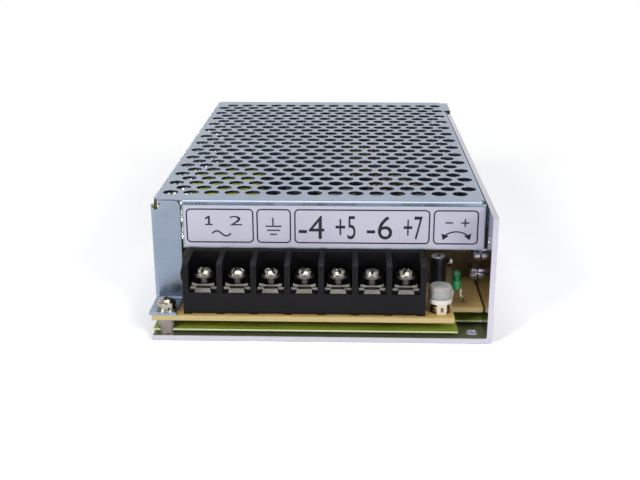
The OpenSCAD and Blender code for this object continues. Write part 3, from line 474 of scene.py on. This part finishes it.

# %% [markdown]
# ## Board and insulating sheet
# The board is a paper and glass laminate, tan with a resinous gloss. Fibres show as a fine pale
# grain, and its sawn edge is lighter than its face. Under it lies a yellow-green sheet that keeps
# the solder joints away from the metal. It lets some light into its edge, and that light is painted
# on as a pale colour along its edges and its cut faces. A board like this is one colour all over.
# Here it is darkened towards the back, which stands in for the deep shade under a real cover: this
# pale room lights the board more than that.

# %% Board and sheet
board_laminate = finish("board laminate", rgb(172, 140, 76), rgb(190, 156, 90),
                        rough=(0.32, 0.5), edge=rgb(222, 202, 142), edge_radius=0.35, cloud=6,
                        grain=0.35, drawn_out=3, bump=0.3, dust=0.08, Specular_IOR_Level=0.3)
sheet_film = finish("sheet film", rgb(112, 130, 42), rgb(138, 156, 56), rough=(0.25, 0.36),
                    edge=rgb(208, 216, 172), edge_radius=0.35, cloud=25, grain=0.8, bump=0.2,
                    Specular_IOR_Level=0.4)
# the board's cut faces are really paler; the sheet's paler cut faces are painted light that enters
# its edge
for laminate, sawn_edge_and_painted_light in ((board_laminate, rgb(172, 156, 110)), (sheet_film, rgb(180, 188, 146))):
    edge_faces = use(laminate.node_tree, place_group, height=0.0)["Upright"]
    retone(laminate, edge_faces, sawn_edge_and_painted_light, rough=0.6)
tree = board_laminate.node_tree
along_board = add(tree, "SeparateXYZ", {0: add(tree, "TexCoord").outputs["Object"]}).outputs[1]
SHADED = (case_low.y + 16 * MM, case_low.y + 44 * MM)   # where the darkening starts and is full
under_cover = spread(tree, along_board, *SHADED)
retone(board_laminate, under_cover, rgb(88, 70, 40), rough=0.5)
paint("main_board", board_laminate)
paint("insulation_sheet", sheet_film)
print("board darkens from y =", " to ".join(f"{v / MM:.1f}" for v in SHADED), "mm")

# %% [markdown]
# ## Nickel and plated contacts
# The screws are nickel plated: a warm, bright metal, smooth enough to mirror the dark block around
# it. The clamps and plates are tinned brass, a little duller, and stamped, so their edges are
# polished bright. Both colours are written darker than such metal is: painted shade, added to the
# dark block that they mirror.

# %% Fixings and contacts
# painted shade: nickel and the plated contacts are written darker than such metal is
nickel = finish("nickel", rgb(150, 144, 132), rgb(178, 172, 160), rough=(0.08, 0.18), metallic=1.0,
                edge=rgb(228, 223, 213), edge_radius=0.12, cloud=3, grain=0.15, bump=0.1)
plated_contact = finish("plated contact", rgb(106, 102, 96), rgb(140, 135, 128),
                        rough=(0.14, 0.26), metallic=1.0, edge=rgb(206, 202, 196),
                        edge_radius=0.12, cloud=4, grain=0.2, drawn_out=4, bump=0.15)
for node in ("board_screws", "flat_washer", "spring_washer", "cover_screws",
             "base_screws", "clamp_bar_screws", "lamp_leads"):
    paint(node, nickel)
for node in ("terminal_plates", "fuse_caps"):
    paint(node, plated_contact)
standoff_metal = finish("standoff metal", rgb(128, 120, 120), rgb(148, 140, 138),
                        rough=(0.3, 0.45), metallic=1.0, edge=rgb(186, 180, 178),
                        edge_radius=0.12, cloud=3, grain=0.2, bump=0.15)
paint("board_standoffs", standoff_metal)

# a terminal screw is turned smooth on its head and left with a dull rolled thread below it
screw_metal = nickel.copy()
screw_metal.name = "screw nickel"
SMOOTH_HEAD = 1.25 * MM
head_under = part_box("terminal_screw_1")[1].z - SMOOTH_HEAD
retone(screw_metal, lower_part(screw_metal, head_under), rgb(112, 110, 107), rough=0.55)
for way in range(1, 8):
    paint(f"terminal_screw_{way}", screw_metal)
    paint(f"wire_clamp_{way}", plated_contact)
print("screw heads are smooth above", round(head_under / MM, 2), "mm")

# %% [markdown]
# ## Black mouldings
# The terminal block is glass-filled nylon. It is almost black, satin, with a very fine texture
# from the spark-eroded mould. Its edges are painted a little grey, a painted highlight where the
# light grazes them.

# %% Block moulding
block_moulding = finish("block moulding", rgb(9, 9, 12), rgb(15, 15, 18), rough=(0.34, 0.5),
                        edge=rgb(46, 46, 52), edge_radius=0.2, cloud=12, grain=0.18, bump=0.35,
                        Specular_IOR_Level=0.17)
paint("terminal_block", block_moulding)
print("block moulding:", len(block_moulding.node_tree.nodes), "nodes")

# %% [markdown]
# ## Front parts
# The trimmer has a milky knob on a cream body, and the lamp is a tinted lens that is clearer at its
# foot. Light enters both a little way and scatters. Subsurface scattering shows that, and without
# it they look like painted wood.

# %% Trimmer and lamp
trimmer_housing = finish("trimmer housing", rgb(194, 190, 178), rgb(208, 205, 196),
                         rough=(0.35, 0.5), edge=rgb(222, 220, 214), cloud=3, grain=0.2)
knob_plastic = finish("knob plastic", rgb(134, 135, 134), rgb(152, 153, 151), rough=(0.3, 0.42),
                      edge=rgb(184, 185, 182), cloud=4, grain=0.25, Subsurface_Weight=0.3,
                      Subsurface_Scale=0.0015)
lamp_plastic = finish("lamp plastic", rgb(16, 84, 44), rgb(24, 104, 56), rough=(0.16, 0.28),
                      edge=rgb(70, 170, 110), cloud=3, grain=1.2, bump=0.05,
                      Subsurface_Weight=0.3, Subsurface_Scale=0.001)
LAMP_FOOT = 2.2 * MM
lamp_foot = lower_part(lamp_plastic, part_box("lamp_lens")[0].z + LAMP_FOOT, blur=0.6 * MM)
retone(lamp_plastic, lamp_foot, rgb(44, 150, 86))
paint("trimmer_knob", knob_plastic)
paint("lamp_lens", lamp_plastic)
print("the lamp is clearer in its lowest", round(LAMP_FOOT / MM, 1), "mm")

# %% [markdown]
# ## Inside parts
# Through the mesh show the tops of the components. Each family has its own look: yellow box
# capacitors, dark sleeved cans, grey ferrite, enamelled copper, tape and epoxy. They lie in the
# shade of the cover, so their colours are written a little stronger than they would be outside.

# %% Inside finishes
inside = {
    "black_sleeve": finish("black sleeve", rgb(26, 26, 32), rgb(40, 40, 48), rough=(0.25, 0.4),
                           edge=rgb(80, 80, 90), cloud=5, grain=0.5, bump=0.2, dust=0.15),
    "brown_sleeve": finish("brown sleeve", rgb(24, 20, 22), rgb(36, 28, 30), rough=(0.25, 0.4),
                           edge=rgb(84, 68, 66), cloud=6, grain=0.5, bump=0.2, dust=0.1),
    "yellow_case": finish("yellow case", rgb(196, 198, 44), rgb(214, 214, 70), rough=(0.4, 0.55),
                          edge=rgb(228, 228, 130), cloud=8, grain=0.3, bump=0.25, dust=0.15),
    "blue_coating": finish("blue coating", rgb(38, 66, 140), rgb(54, 92, 176), rough=(0.2, 0.35),
                           cloud=4, grain=1.2, bump=1.5, dust=0.1),
    "green_coating": finish("green coating", rgb(34, 66, 44), rgb(50, 88, 58), rough=(0.3, 0.45),
                            cloud=4, grain=1.0, bump=1.2, dust=0.1),
    "ferrite": finish("ferrite", rgb(58, 58, 62), rgb(76, 76, 80), rough=(0.45, 0.65),
                      edge=rgb(110, 110, 114), cloud=6, grain=0.2, bump=0.5, dust=0.2),
    "copper_wire": finish("copper wire", rgb(132, 58, 30), rgb(168, 84, 44), rough=(0.2, 0.32),
                          metallic=0.7, cloud=4, grain=0.3, bump=0.1, Coat_Weight=0.6),
    "yellow_tape": finish("yellow tape", rgb(214, 196, 70), rgb(230, 214, 98), rough=(0.3, 0.42),
                          edge=rgb(240, 232, 160), cloud=7, grain=0.8, bump=0.3, dust=0.15),
    "toroid_coat": finish("toroid coat", rgb(206, 190, 84), rgb(220, 206, 110), rough=(0.4, 0.6),
                          cloud=5, grain=0.5, bump=0.6, dust=0.15),
    "pad_film": finish("pad film", rgb(188, 190, 186), rgb(206, 208, 204), rough=(0.5, 0.65),
                       cloud=5, grain=0.4, bump=0.2),
    "bar_metal": finish("bar metal", rgb(206, 208, 212), rgb(224, 226, 228), rough=(0.16, 0.28),
                        metallic=1.0, edge=rgb(242, 242, 244), cloud=10, grain=0.3,
                        drawn_out=20, bump=0.1),
    "white_package": finish("white package", rgb(206, 206, 200), rgb(224, 224, 218),
                            rough=(0.4, 0.55), edge=rgb(236, 236, 232), cloud=3, grain=0.3,
                            bump=0.2, dust=0.15),
    "brown_laminate": finish("brown laminate", rgb(92, 70, 40), rgb(116, 90, 52),
                             rough=(0.35, 0.5), edge=rgb(190, 158, 100), cloud=6, grain=0.3,
                             drawn_out=3, bump=0.3, dust=0.1),
    "resistor_body": finish("resistor body", rgb(150, 176, 190), rgb(172, 198, 208),
                            rough=(0.3, 0.45), cloud=3, grain=0.5, bump=0.5, dust=0.1),
}
print(len(inside), "finishes for the inside")

# %% [markdown]
# ## Dressing the inside
# The construction's record names a slot for each solid, and the inside finishes bear those names,
# so one loop paints them all. Only the fuse's tube is clear, so it has a finish of its own.

# %% Dressing
glass_tube = finish("glass tube", rgb(226, 232, 230), rgb(240, 246, 244), rough=(0.04, 0.1),
                    cloud=6, grain=0.8, bump=0.05, Transmission_Weight=0.9, IOR=1.47)
paint("fuse_tube", glass_tube)
slot_of = {p["node"]: p["material_slot"] for p in frame["record"]["subparts"]}
dressed = 0
for node, wanted in slot_of.items():
    if wanted in inside:
        paint(node, inside[wanted])
        dressed += 1
print(dressed, "inside nodes are dressed")

# %% [markdown]
# ## Bare tops of the cans
# An electrolytic capacitor is an aluminium can in a shrunk sleeve, which folds over the rim and
# leaves the top bare. The solid has that recessed top already, so the sleeve's finish only has to
# turn to metal where a face looks up inside the rim, which lies a little lower than the rim.

# %% Can tops
RIM_DROP = 0.6 * MM


def bare_top(node, sleeve):
    """A copy of a sleeve's finish, with bare aluminium on the upper faces of a row of cans."""
    metal_topped = inside[sleeve].copy()
    metal_topped.name = sleeve + " and can"
    tree = metal_topped.node_tree
    masks = use(tree, place_group, height=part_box(node)[1].z - RIM_DROP, blur=0.05 * MM)
    top = sums(tree, "MULTIPLY", masks["Above"], masks["Facing Up"])
    retone(metal_topped, top, rgb(176, 178, 184), rough=0.28, metallic=1.0)
    paint(node, metal_topped)


for cans, sleeve in (("small_capacitor", "black_sleeve"), ("output_capacitors", "brown_sleeve"),
                     ("bulk_capacitors", "brown_sleeve")):
    bare_top(cans, sleeve)
print("bare tops given to 3 rows of cans")

# %% [markdown]
# ## The label's film
# Along the front flange runs a strip of silvery film that carries the terminals' signs. It is a
# plastic with fine metal powder in it, so it is half metallic, pale and slightly violet.

# %% Label film
label_film = finish("label film", rgb(170, 170, 186), rgb(180, 180, 195), rough=(0.34, 0.44),
                    metallic=0.25, edge=rgb(200, 200, 213), cloud=25, grain=0.2, bump=0.08)
paint("front_label", label_film)
film_low, film_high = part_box("front_label")
print("film", [round(v / MM, 1) for v in film_high - film_low], "mm")

# %% [markdown]
# ## Drawing flat shapes
# A printed sign is a flat shape with holes in it. A 2D curve in Blender fills between its closed
# outlines and leaves an outline inside another one open, like a stencil. So frames, bars and arrows
# are lists of points, and a small extrusion gives the ink its thickness. Figures come from the
# built-in font in the same way. Each is turned into a mesh, so that the parts can be joined.

# %% Stencil helpers
def mesh_of(curve, name):
    """The mesh that a curve or a text makes, with the curve itself deleted."""
    drawn = bpy.data.objects.new(name, curve)
    bpy.context.scene.collection.objects.link(drawn)
    bpy.context.view_layer.update()
    mesh = bpy.data.meshes.new_from_object(drawn)
    bpy.data.objects.remove(drawn)
    return mesh


def stencil(outlines, thickness):
    """A flat plate in x and y, filled between closed outlines. All values are in metres."""
    curve = bpy.data.curves.new("stencil", "CURVE")
    curve.dimensions = "2D"
    curve.fill_mode = "BOTH"
    curve.extrude = thickness / 2
    for points in outlines:
        spline = curve.splines.new("POLY")
        spline.points.add(len(points) - 1)
        for point, (x, y) in zip(spline.points, points):
            point.co = (x, y, 0.0, 1.0)
        spline.use_cyclic_u = True
    return mesh_of(curve, "stencil")


def figures(text, box, thickness):
    """Figures from the built-in font, drawn out to fill a box of (x0, x1, y0, y1)."""
    curve = bpy.data.curves.new("figures", "FONT")
    curve.body = text
    curve.extrude = 0.5
    mesh = mesh_of(curve, "figures")
    xs = [v.co.x for v in mesh.vertices]
    ys = [v.co.y for v in mesh.vertices]
    x0, x1, y0, y1 = box
    for v in mesh.vertices:
        v.co.x = x0 + (v.co.x - min(xs)) / (max(xs) - min(xs)) * (x1 - x0)
        v.co.y = y0 + (v.co.y - min(ys)) / (max(ys) - min(ys)) * (y1 - y0)
        v.co.z *= thickness
    return mesh


print("flat shapes can be filled between outlines")

# %% [markdown]
# ## Two outlines that return
# A frame, a pillar and a window are rectangles with round corners. A bar, a wave and an arc are
# lines with a width. Both outlines are worked out here, point by point. A curve with a bevel could
# draw a line too, but as a round tube, and ink is flat.

# %% Outlines
def rounded(x0, x1, y0, y1, r, steps=6):
    """The outline of a rectangle with round corners."""
    points = []
    for cx, cy, start in ((x1 - r, y1 - r, 0), (x0 + r, y1 - r, 90),
                          (x0 + r, y0 + r, 180), (x1 - r, y0 + r, 270)):
        for k in range(steps + 1):
            a = math.radians(start + 90 * k / steps)
            points.append((cx + r * math.cos(a), cy + r * math.sin(a)))
    return points


def band(centre_line, width):
    """The outline of a line with a width, from the points along its middle."""
    left, right = [], []
    for k, (x, y) in enumerate(centre_line):
        x0, y0 = centre_line[max(k - 1, 0)]
        x1, y1 = centre_line[min(k + 1, len(centre_line) - 1)]
        length = math.hypot(x1 - x0, y1 - y0)
        nx, ny = -(y1 - y0) / length * width / 2, (x1 - x0) / length * width / 2
        left.append((x + nx, y + ny))
        right.append((x - nx, y - ny))
    return left + right[::-1]


print("a round corner has", len(rounded(0, 1, 0, 1, 0.1)) // 4, "points")

# %% [markdown]
# ## Putting a piece in the scene
# A piece made of several meshes is joined into one, so that it has one name and moves as one. Then
# it is told which body it rides on. Parenting would do for a still scene, but the frame moves its
# bodies by name.

# %% Joining and placing
def join(meshes, name):
    """One mesh made of several."""
    whole = bmesh.new()
    for mesh in meshes:
        whole.from_mesh(mesh)
        bpy.data.meshes.remove(mesh)
    bmesh.ops.remove_doubles(whole, verts=whole.verts, dist=1e-8)
    joined = bpy.data.meshes.new(name)
    whole.to_mesh(joined)
    whole.free()
    return joined


def place(mesh, name, materials, body, slot, matrix=None):
    """Puts a finished mesh in the scene, on its body. Its slot argument is not used."""
    for material in materials:
        mesh.materials.append(material)
    if matrix is not None:
        mesh.transform(matrix)
    piece = bpy.data.objects.new(name, mesh)
    bpy.context.scene.collection.objects.link(piece)
    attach(piece, body)
    return piece


print("pieces can be joined and placed")

# %% [markdown]
# ## Frames on the label
# Each group of terminals has a frame on the film: the supply, the earth, the outputs and the
# adjuster. A frame is an outline with a smaller one inside it. All lengths are in millimetres from
# the film's lower left corner.

# %% Sign frames
INK = 0.02                  # thickness of the ink
LINE = 0.4                  # width of a printed line
FRAME_LOW, FRAME_HIGH, FRAME_CORNER = 1.2, 11.4, 1.35


def mm(points):
    """Points drawn in millimetres, in metres."""
    return [(x * MM, y * MM) for x, y in points]


film_w = (film_high.x - film_low.x) / MM
FRAME_ENDS = [(0.65, 19.95), (20.75, 30.6), (31.5, 69.95), (70.85, film_w - 1.5)]
prints = []
for x0, x1 in FRAME_ENDS:
    outer = rounded(x0, x1, FRAME_LOW, FRAME_HIGH, FRAME_CORNER)
    inner = rounded(x0 + LINE, x1 - LINE, FRAME_LOW + LINE, FRAME_HIGH - LINE,
                    FRAME_CORNER - LINE)
    prints.append(stencil([mm(outer), mm(inner)], INK * MM))
print(len(prints), "frames drawn on a film", round(film_w, 1), "mm wide")

# %% [markdown]
# ## Signs in the frames
# The signs are generic: terminal numbers with their polarity, a wave for alternating current, the
# earth symbol, and a double arrow between minus and plus. The built-in font's 1 is a plain bar, so
# that figure is drawn as an outline with a flag and a foot.

# %% Signs
wave = [(8.0 + 5.4 * t / 24, 4.0 + 0.75 * math.sin(t / 24 * 2 * math.pi)) for t in range(25)]
earth = [band(ends, LINE) for ends in (
    [(25.45, 8.75), (25.45, 6.2)], [(23.3, 6.25), (27.85, 6.25)],
    [(23.75, 5.05), (27.45, 5.05)], [(24.55, 3.85), (26.55, 3.85)])]
turn = [(77.45 + 3.6 * math.cos(math.radians(a)), 2.7 + 2.3 * math.sin(math.radians(a)))
        for a in range(160, 19, -10)]
arrow_heads = [[(73.2, 4.5), (73.6, 2.5), (75.3, 3.7)], [(81.7, 4.5), (81.3, 2.5), (79.6, 3.7)]]
for outline in [band(wave, 0.45), *earth, band(turn, LINE), *arrow_heads]:
    prints.append(stencil([mm(outline)], INK * MM))
one = [(6.1, 6.45), (8.2, 6.45), (8.2, 6.85), (7.5, 6.85), (7.5, 9.25), (7.05, 9.25), (6.0, 8.5),
       (6.3, 8.15), (6.95, 8.6), (6.95, 6.85), (6.1, 6.85)]
prints.append(stencil([mm(one)], INK * MM))
SIGNS = [("2", 13.1, 16.6, 6.45, 9.25),
         ("-4", 32.75, 40.05, 2.55, 9.45), ("+5", 43.2, 48.9, 2.55, 9.45),
         ("-6", 52.1, 59.3, 2.55, 9.45), ("+7", 62.5, 67.8, 2.55, 9.45)]
for text, x0, x1, y0, y1 in SIGNS:
    prints.append(figures(text, [v * MM for v in (x0, x1, y0, y1)], INK * MM))
for ends in ([(74.2, 7.65), (76.4, 7.65)], [(78.6, 7.65), (81.0, 7.65)],
             [(79.8, 6.45), (79.8, 8.85)]):
    prints.append(stencil([mm(band(ends, LINE))], INK * MM))
sign_ink = finish("sign ink", rgb(22, 22, 30), rgb(30, 30, 40), rough=(0.35, 0.5), cloud=6,
                  grain=0.15, bump=0.1, Specular_IOR_Level=0.25)
STAND_UP = Matrix.Rotation(math.radians(90), 4, "X")   # turns a flat drawing to face the front
on_film = Matrix.Translation((film_low.x, film_low.y, film_low.z)) @ STAND_UP
place(join(prints, "terminal_signs"), "terminal_signs", [sign_ink], "case", "label_film", on_film)
print(len(prints), "shapes joined into the label's print")

# %% [markdown]
# ## Turning on a lathe
# Round parts are turned from a profile. Blender has a Screw modifier for that, but rings of points
# joined by faces take few lines and close both ends exactly. A piece with several finishes needs a
# material number on its faces before its meshes are joined.

# %% Lathe helpers
def turned(profile, steps=48):
    """A lathed mesh from (radius, height) points, closed where the radius is 0."""
    lathe = bmesh.new()
    rings = [[lathe.verts.new((r * math.cos(a * 2 * math.pi / steps),
                               r * math.sin(a * 2 * math.pi / steps), z))
              for a in range(steps)] for r, z in profile]
    for a in range(steps):
        b = (a + 1) % steps
        for one, two in zip(rings, rings[1:]):
            lathe.faces.new((one[a], one[b], two[b], two[a]))
    lathe.faces.new(rings[0][::-1])
    lathe.faces.new(rings[-1])
    mesh = bpy.data.meshes.new("turned")
    lathe.to_mesh(mesh)
    lathe.free()
    return mesh


def in_slot(mesh, number):
    """Gives every face of a mesh a material number before it is joined."""
    for face in mesh.polygons:
        face.material_index = number
    return mesh


print("round parts can be turned from a profile")

# %% [markdown]
# ## The trimmer's lower half
# Under its collar the trimmer is open: three white pillars stand round a core, each with a window
# in it, and the ends of the contact spring show between them as thin gold lines. The core's dark
# brown is painted shade for the hollow inside. The plain solid stays in the frame for collision,
# and this piece stands for it.

# %% Trimmer lower half
low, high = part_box("trimmer_body")
trimmer_r = (high.x - low.x) / 2
trimmer_h = high.z - low.z
COLLAR = 1.35 * MM
soft = 0.12 * MM
collar_low = trimmer_h - COLLAR
parts = [
    in_slot(turned([(trimmer_r * 0.9, collar_low), (trimmer_r - soft, collar_low),
                    (trimmer_r, collar_low + soft), (trimmer_r, trimmer_h - soft),
                    (trimmer_r - soft, trimmer_h), (trimmer_r * 0.4, trimmer_h)]), 0),
    in_slot(turned([(trimmer_r * 0.84, 0.0), (trimmer_r * 0.84, 0.3 * MM),
                    (trimmer_r * 0.76, 0.35 * MM), (trimmer_r * 0.76, collar_low)]), 1),
]
SPRING_ENDS = ((0.9, 0.22), (1.75, 0.2))   # height and half thickness, in millimetres
for ring, size in SPRING_ENDS:
    parts.append(in_slot(turned([(trimmer_r * 0.7, (ring - size) * MM),
                                 (trimmer_r * 0.86, (ring - size) * MM),
                                 (trimmer_r * 0.88, ring * MM),
                                 (trimmer_r * 0.86, (ring + size) * MM),
                                 (trimmer_r * 0.7, (ring + size) * MM)]), 2))
PILLARS_AT = (-84, 36, 156)   # degrees round the trimmer
for heading in PILLARS_AT:
    pillar = stencil([rounded(-1.35 * MM, 1.35 * MM, 0, collar_low, 0.15 * MM),
                      rounded(-0.35 * MM, 0.55 * MM, 0.55 * MM, 2.1 * MM, 0.2 * MM)], 0.8 * MM)
    pillar.transform(Matrix.Rotation(math.radians(heading + 90), 4, "Z")
                     @ Matrix.Translation((0, -(trimmer_r - 0.75 * MM), 0)) @ STAND_UP)
    parts.append(in_slot(pillar, 0))
# painted shade: the core's dark brown stands for the shade inside the open housing
core_painted_shade = finish("trimmer core", rgb(34, 28, 22), rgb(58, 46, 34), rough=(0.3, 0.5), cloud=1.5,
                      grain=0.2, bump=0.2)
trimmer_spring = finish("trimmer spring", rgb(168, 136, 70), rgb(196, 164, 92),
                        rough=(0.2, 0.35), metallic=1.0, cloud=1.5, grain=0.15, bump=0.1)
trimmer_low = place(join(parts, "trimmer_housing"), "trimmer_housing",
                    [trimmer_housing, core_painted_shade, trimmer_spring], "case", "trimmer_housing",
                    Matrix.Translation(((low.x + high.x) / 2, (low.y + high.y) / 2, low.z)))
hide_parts("trimmer_body")
print("trimmer housing", round(2 * trimmer_r / MM, 2), "mm across,",
      len(trimmer_low.data.polygons), "faces")

# %% [markdown]
# ## Two red leads
# Two leads in red sleeves run from the transformer to the board. A lead is a curve with a round
# bevel. Its path is given by a few points and Blender smooths it.

# %% Red leads
red_sleeve = finish("red sleeve", rgb(150, 26, 34), rgb(178, 40, 46), rough=(0.3, 0.42), cloud=2,
                    grain=0.3, bump=0.3)


def lead(name, points, width, material):
    """A round lead along a few points, in millimetres."""
    curve = bpy.data.curves.new(name, "CURVE")
    curve.dimensions = "3D"
    curve.bevel_depth = width / 2 * MM
    curve.bevel_resolution = 3
    curve.use_fill_caps = True
    spline = curve.splines.new("NURBS")
    spline.points.add(len(points) - 1)
    for point, where in zip(spline.points, points):
        point.co = (*(v * MM for v in where), 1.0)
    spline.use_endpoint_u = True
    spline.order_u = 3
    return place(mesh_of(curve, name), name, [material], "case", "lead_wire")


LEAD_WIDTH = 1.5
core_low, core_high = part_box("transformer_core")
board_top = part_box("main_board")[1].z / MM
lead_x = (core_low.x + core_high.x) / 2 / MM
lead_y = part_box("transformer_winding")[0].y / MM
lead_z = core_high.z / MM
for k, across in enumerate((1.5, 6.0)):
    lead(f"red_lead_{k + 1}",
         [(lead_x + across, lead_y + 1.5, lead_z - 5.5), (lead_x + across, lead_y, lead_z + 0.5),
          (lead_x + across + 1, lead_y - 3.5, lead_z + 1.5),
          (lead_x + across + 2, lead_y - 6.5, lead_z - 2.0),
          (lead_x + across + 2, lead_y - 7.0, board_top + 6),
          (lead_x + across + 2, lead_y - 7.0, board_top - 0.3)], LEAD_WIDTH, red_sleeve)
print("two red leads", LEAD_WIDTH, "mm thick")

# %% [markdown]
# ## The clamp bar's lip
# The bar that presses the power devices to the wall has a bright folded lip near the cover. Its
# section is a flat outline, made as thick as the bar is long and stood on its side.

# %% Lip
bar_low, bar_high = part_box("clamp_bar")
lip_z = case_high.z - 3.2 * MM
lip_back, lip_end = bar_high.x - 0.8 * MM, bar_high.x - 3.0 * MM
lip = stencil([[(lip_back, bar_high.z - 0.5 * MM), (bar_high.x, bar_high.z - 0.5 * MM),
                (bar_high.x, lip_z), (lip_end, lip_z), (lip_end, lip_z - 0.7 * MM),
                (lip_back, lip_z - 0.7 * MM)]], bar_high.y - bar_low.y)
place(lip, "clamp_bar_lip", [inside["bar_metal"]], "case", "bar_metal",
      Matrix.Translation((0, (bar_low.y + bar_high.y) / 2, 0)) @ STAND_UP)
print("lip", round((bar_high.y - bar_low.y) / MM, 1), "mm long")

# %% [markdown]
# ## The studio
# Metal shows only what is around it, so the room matters as much as the lamps. The world is white
# to the camera. In reflections it is white at the sides, dimmer overhead and dark towards the
# front, which gives the metal its darker tones. As a lamp it is weak, and leaves the shaping to the
# soft boxes below.

# %% World
def room_in_reflections(tree):
    """How light the room is towards each side: white around, dim overhead and at the front."""
    towards = add(tree, "TexCoord").outputs["Generated"]
    height = add(tree, "SeparateXYZ", {0: towards}).outputs[2]
    ceiling = spread(tree, height, 0.4, 0.75, 1.0, 0.6)
    flat = add(tree, "VectorMath", {0: towards, 1: (1.0, 1.0, 0.0)}, operation="MULTIPLY")
    level = add(tree, "VectorMath", {0: flat.outputs[0]}, operation="NORMALIZE").outputs[0]
    facing = add(tree, "VectorMath", {0: level, 1: (0.0, -1.0, 0.0)}, operation="DOT_PRODUCT")
    opening = spread(tree, facing.outputs["Value"], 0.84, 0.96, 0.0, 0.88)
    opening = sums(tree, "MULTIPLY", opening, spread(tree, height, 0.85, 0.6))
    return sums(tree, "MULTIPLY", ceiling, sums(tree, "SUBTRACT", 1.0, opening))


def white_where_seen(tree, colour, strength):
    """A background shader: white to the camera and through glass, the room in reflections."""
    ray = add(tree, "LightPath").outputs
    lamp = add(tree, "Background", {"Color": colour, "Strength": strength}).outputs[0]
    room = add(tree, "Background", {"Color": (1, 1, 1, 1),
                                    "Strength": room_in_reflections(tree)}).outputs[0]
    white = add(tree, "Background", {"Color": (1, 1, 1, 1), "Strength": 1.0}).outputs[0]
    seen = sums(tree, "MAXIMUM", ray["Is Camera Ray"], ray["Is Transmission Ray"])
    mirrored = add(tree, "MixShader", {0: ray["Is Glossy Ray"], 1: lamp, 2: room}).outputs[0]
    return add(tree, "MixShader", {0: seen, 1: mirrored, 2: white}).outputs[0]


WORLD_LIGHT = 0.33
world = bpy.data.worlds.new("studio")
world.use_nodes = True
world.node_tree.nodes.clear()
add(world.node_tree, "OutputWorld",
    {"Surface": white_where_seen(world.node_tree, (0.95, 0.97, 1.0, 1.0), WORLD_LIGHT)})
bpy.context.scene.world = world
print("world lights at", WORLD_LIGHT, "of white")

# %% [markdown]
# ## The floor
# The floor is pale and matt and keeps the shadow close to the case. Further out it fades to pure
# white, so that it has no horizon. A large curved backdrop would do that too, but a fade by
# distance needs only a flat sheet.

# %% Floor
def floor_material(fade_from, fade_to):
    """Pale and matt near the case, white light further out, by the distance from its middle."""
    material = bpy.data.materials.new("floor")
    material.use_nodes = True
    tree = material.node_tree
    tree.nodes.clear()
    where = add(tree, "TexCoord").outputs["Object"]
    away = add(tree, "VectorMath", {0: where}, operation="LENGTH").outputs["Value"]
    grain = add(tree, "TexNoise", {"Vector": where, "Scale": 60.0, "Detail": 4.0}).outputs[0]
    paper = blend_colours(tree, grain, rgb(250, 250, 250), rgb(254, 254, 254))
    matt = add(tree, "BsdfDiffuse", {"Color": paper}).outputs[0]
    white = add(tree, "Emission", {"Color": (1, 1, 1, 1), "Strength": 1.0}).outputs[0]
    faded = add(tree, "MixShader", {0: spread(tree, away, fade_from, fade_to), 1: matt, 2: white})
    add(tree, "OutputMaterial", {"Surface": faded.outputs[0]})
    return material


FLOOR_RADIUS, FLOOR_Z = 3, -0.0001
sheet = bpy.data.meshes.new("floor")
rim = [(FLOOR_RADIUS * math.cos(a * math.pi / 32), FLOOR_RADIUS * math.sin(a * math.pi / 32),
        FLOOR_Z) for a in range(64)]
sheet.from_pydata(rim, [], [range(64)])
sheet.materials.append(floor_material(0.1, 0.24))
floor = bpy.data.objects.new("floor", sheet)
bpy.context.scene.collection.objects.link(floor)
print("floor", 2 * FLOOR_RADIUS, "m across")

# %% [markdown]
# ## Soft boxes
# Two large lamps stand at the front, left and right, and draw soft highlights on the screws and
# folds. A larger one overhead lights the mesh.

# %% Soft boxes
LIT_POINT = Vector((0, 0, 0.02))


def soft_box(name, place, size, power):
    """A square area lamp at a place, aimed at the middle of the case."""
    light = bpy.data.lights.new(name, "AREA")
    light.size = size
    light.energy = power
    lamp = bpy.data.objects.new(name, light)
    lamp.location = place
    aim = LIT_POINT - Vector(place)
    lamp.rotation_euler = aim.to_track_quat("-Z", "Y").to_euler()
    bpy.context.scene.collection.objects.link(lamp)


SOFT_BOXES = [("left", (-0.6, -0.7, 0.5), 0.35, 6.0), ("right", (0.6, -0.75, 0.5), 0.35, 5.6),
              ("top", (0.0, 0.1, 0.9), 0.6, 3.5)]   # name, place, size in metres, power in watts
for box in SOFT_BOXES:
    soft_box(*box)
print(len(SOFT_BOXES), "soft boxes are set")

# %% [markdown]
# ## The last step
# The colours are shown as they are written, with the Standard view transform.

# %% Finish
bpy.context.scene.view_settings.view_transform = "Standard"
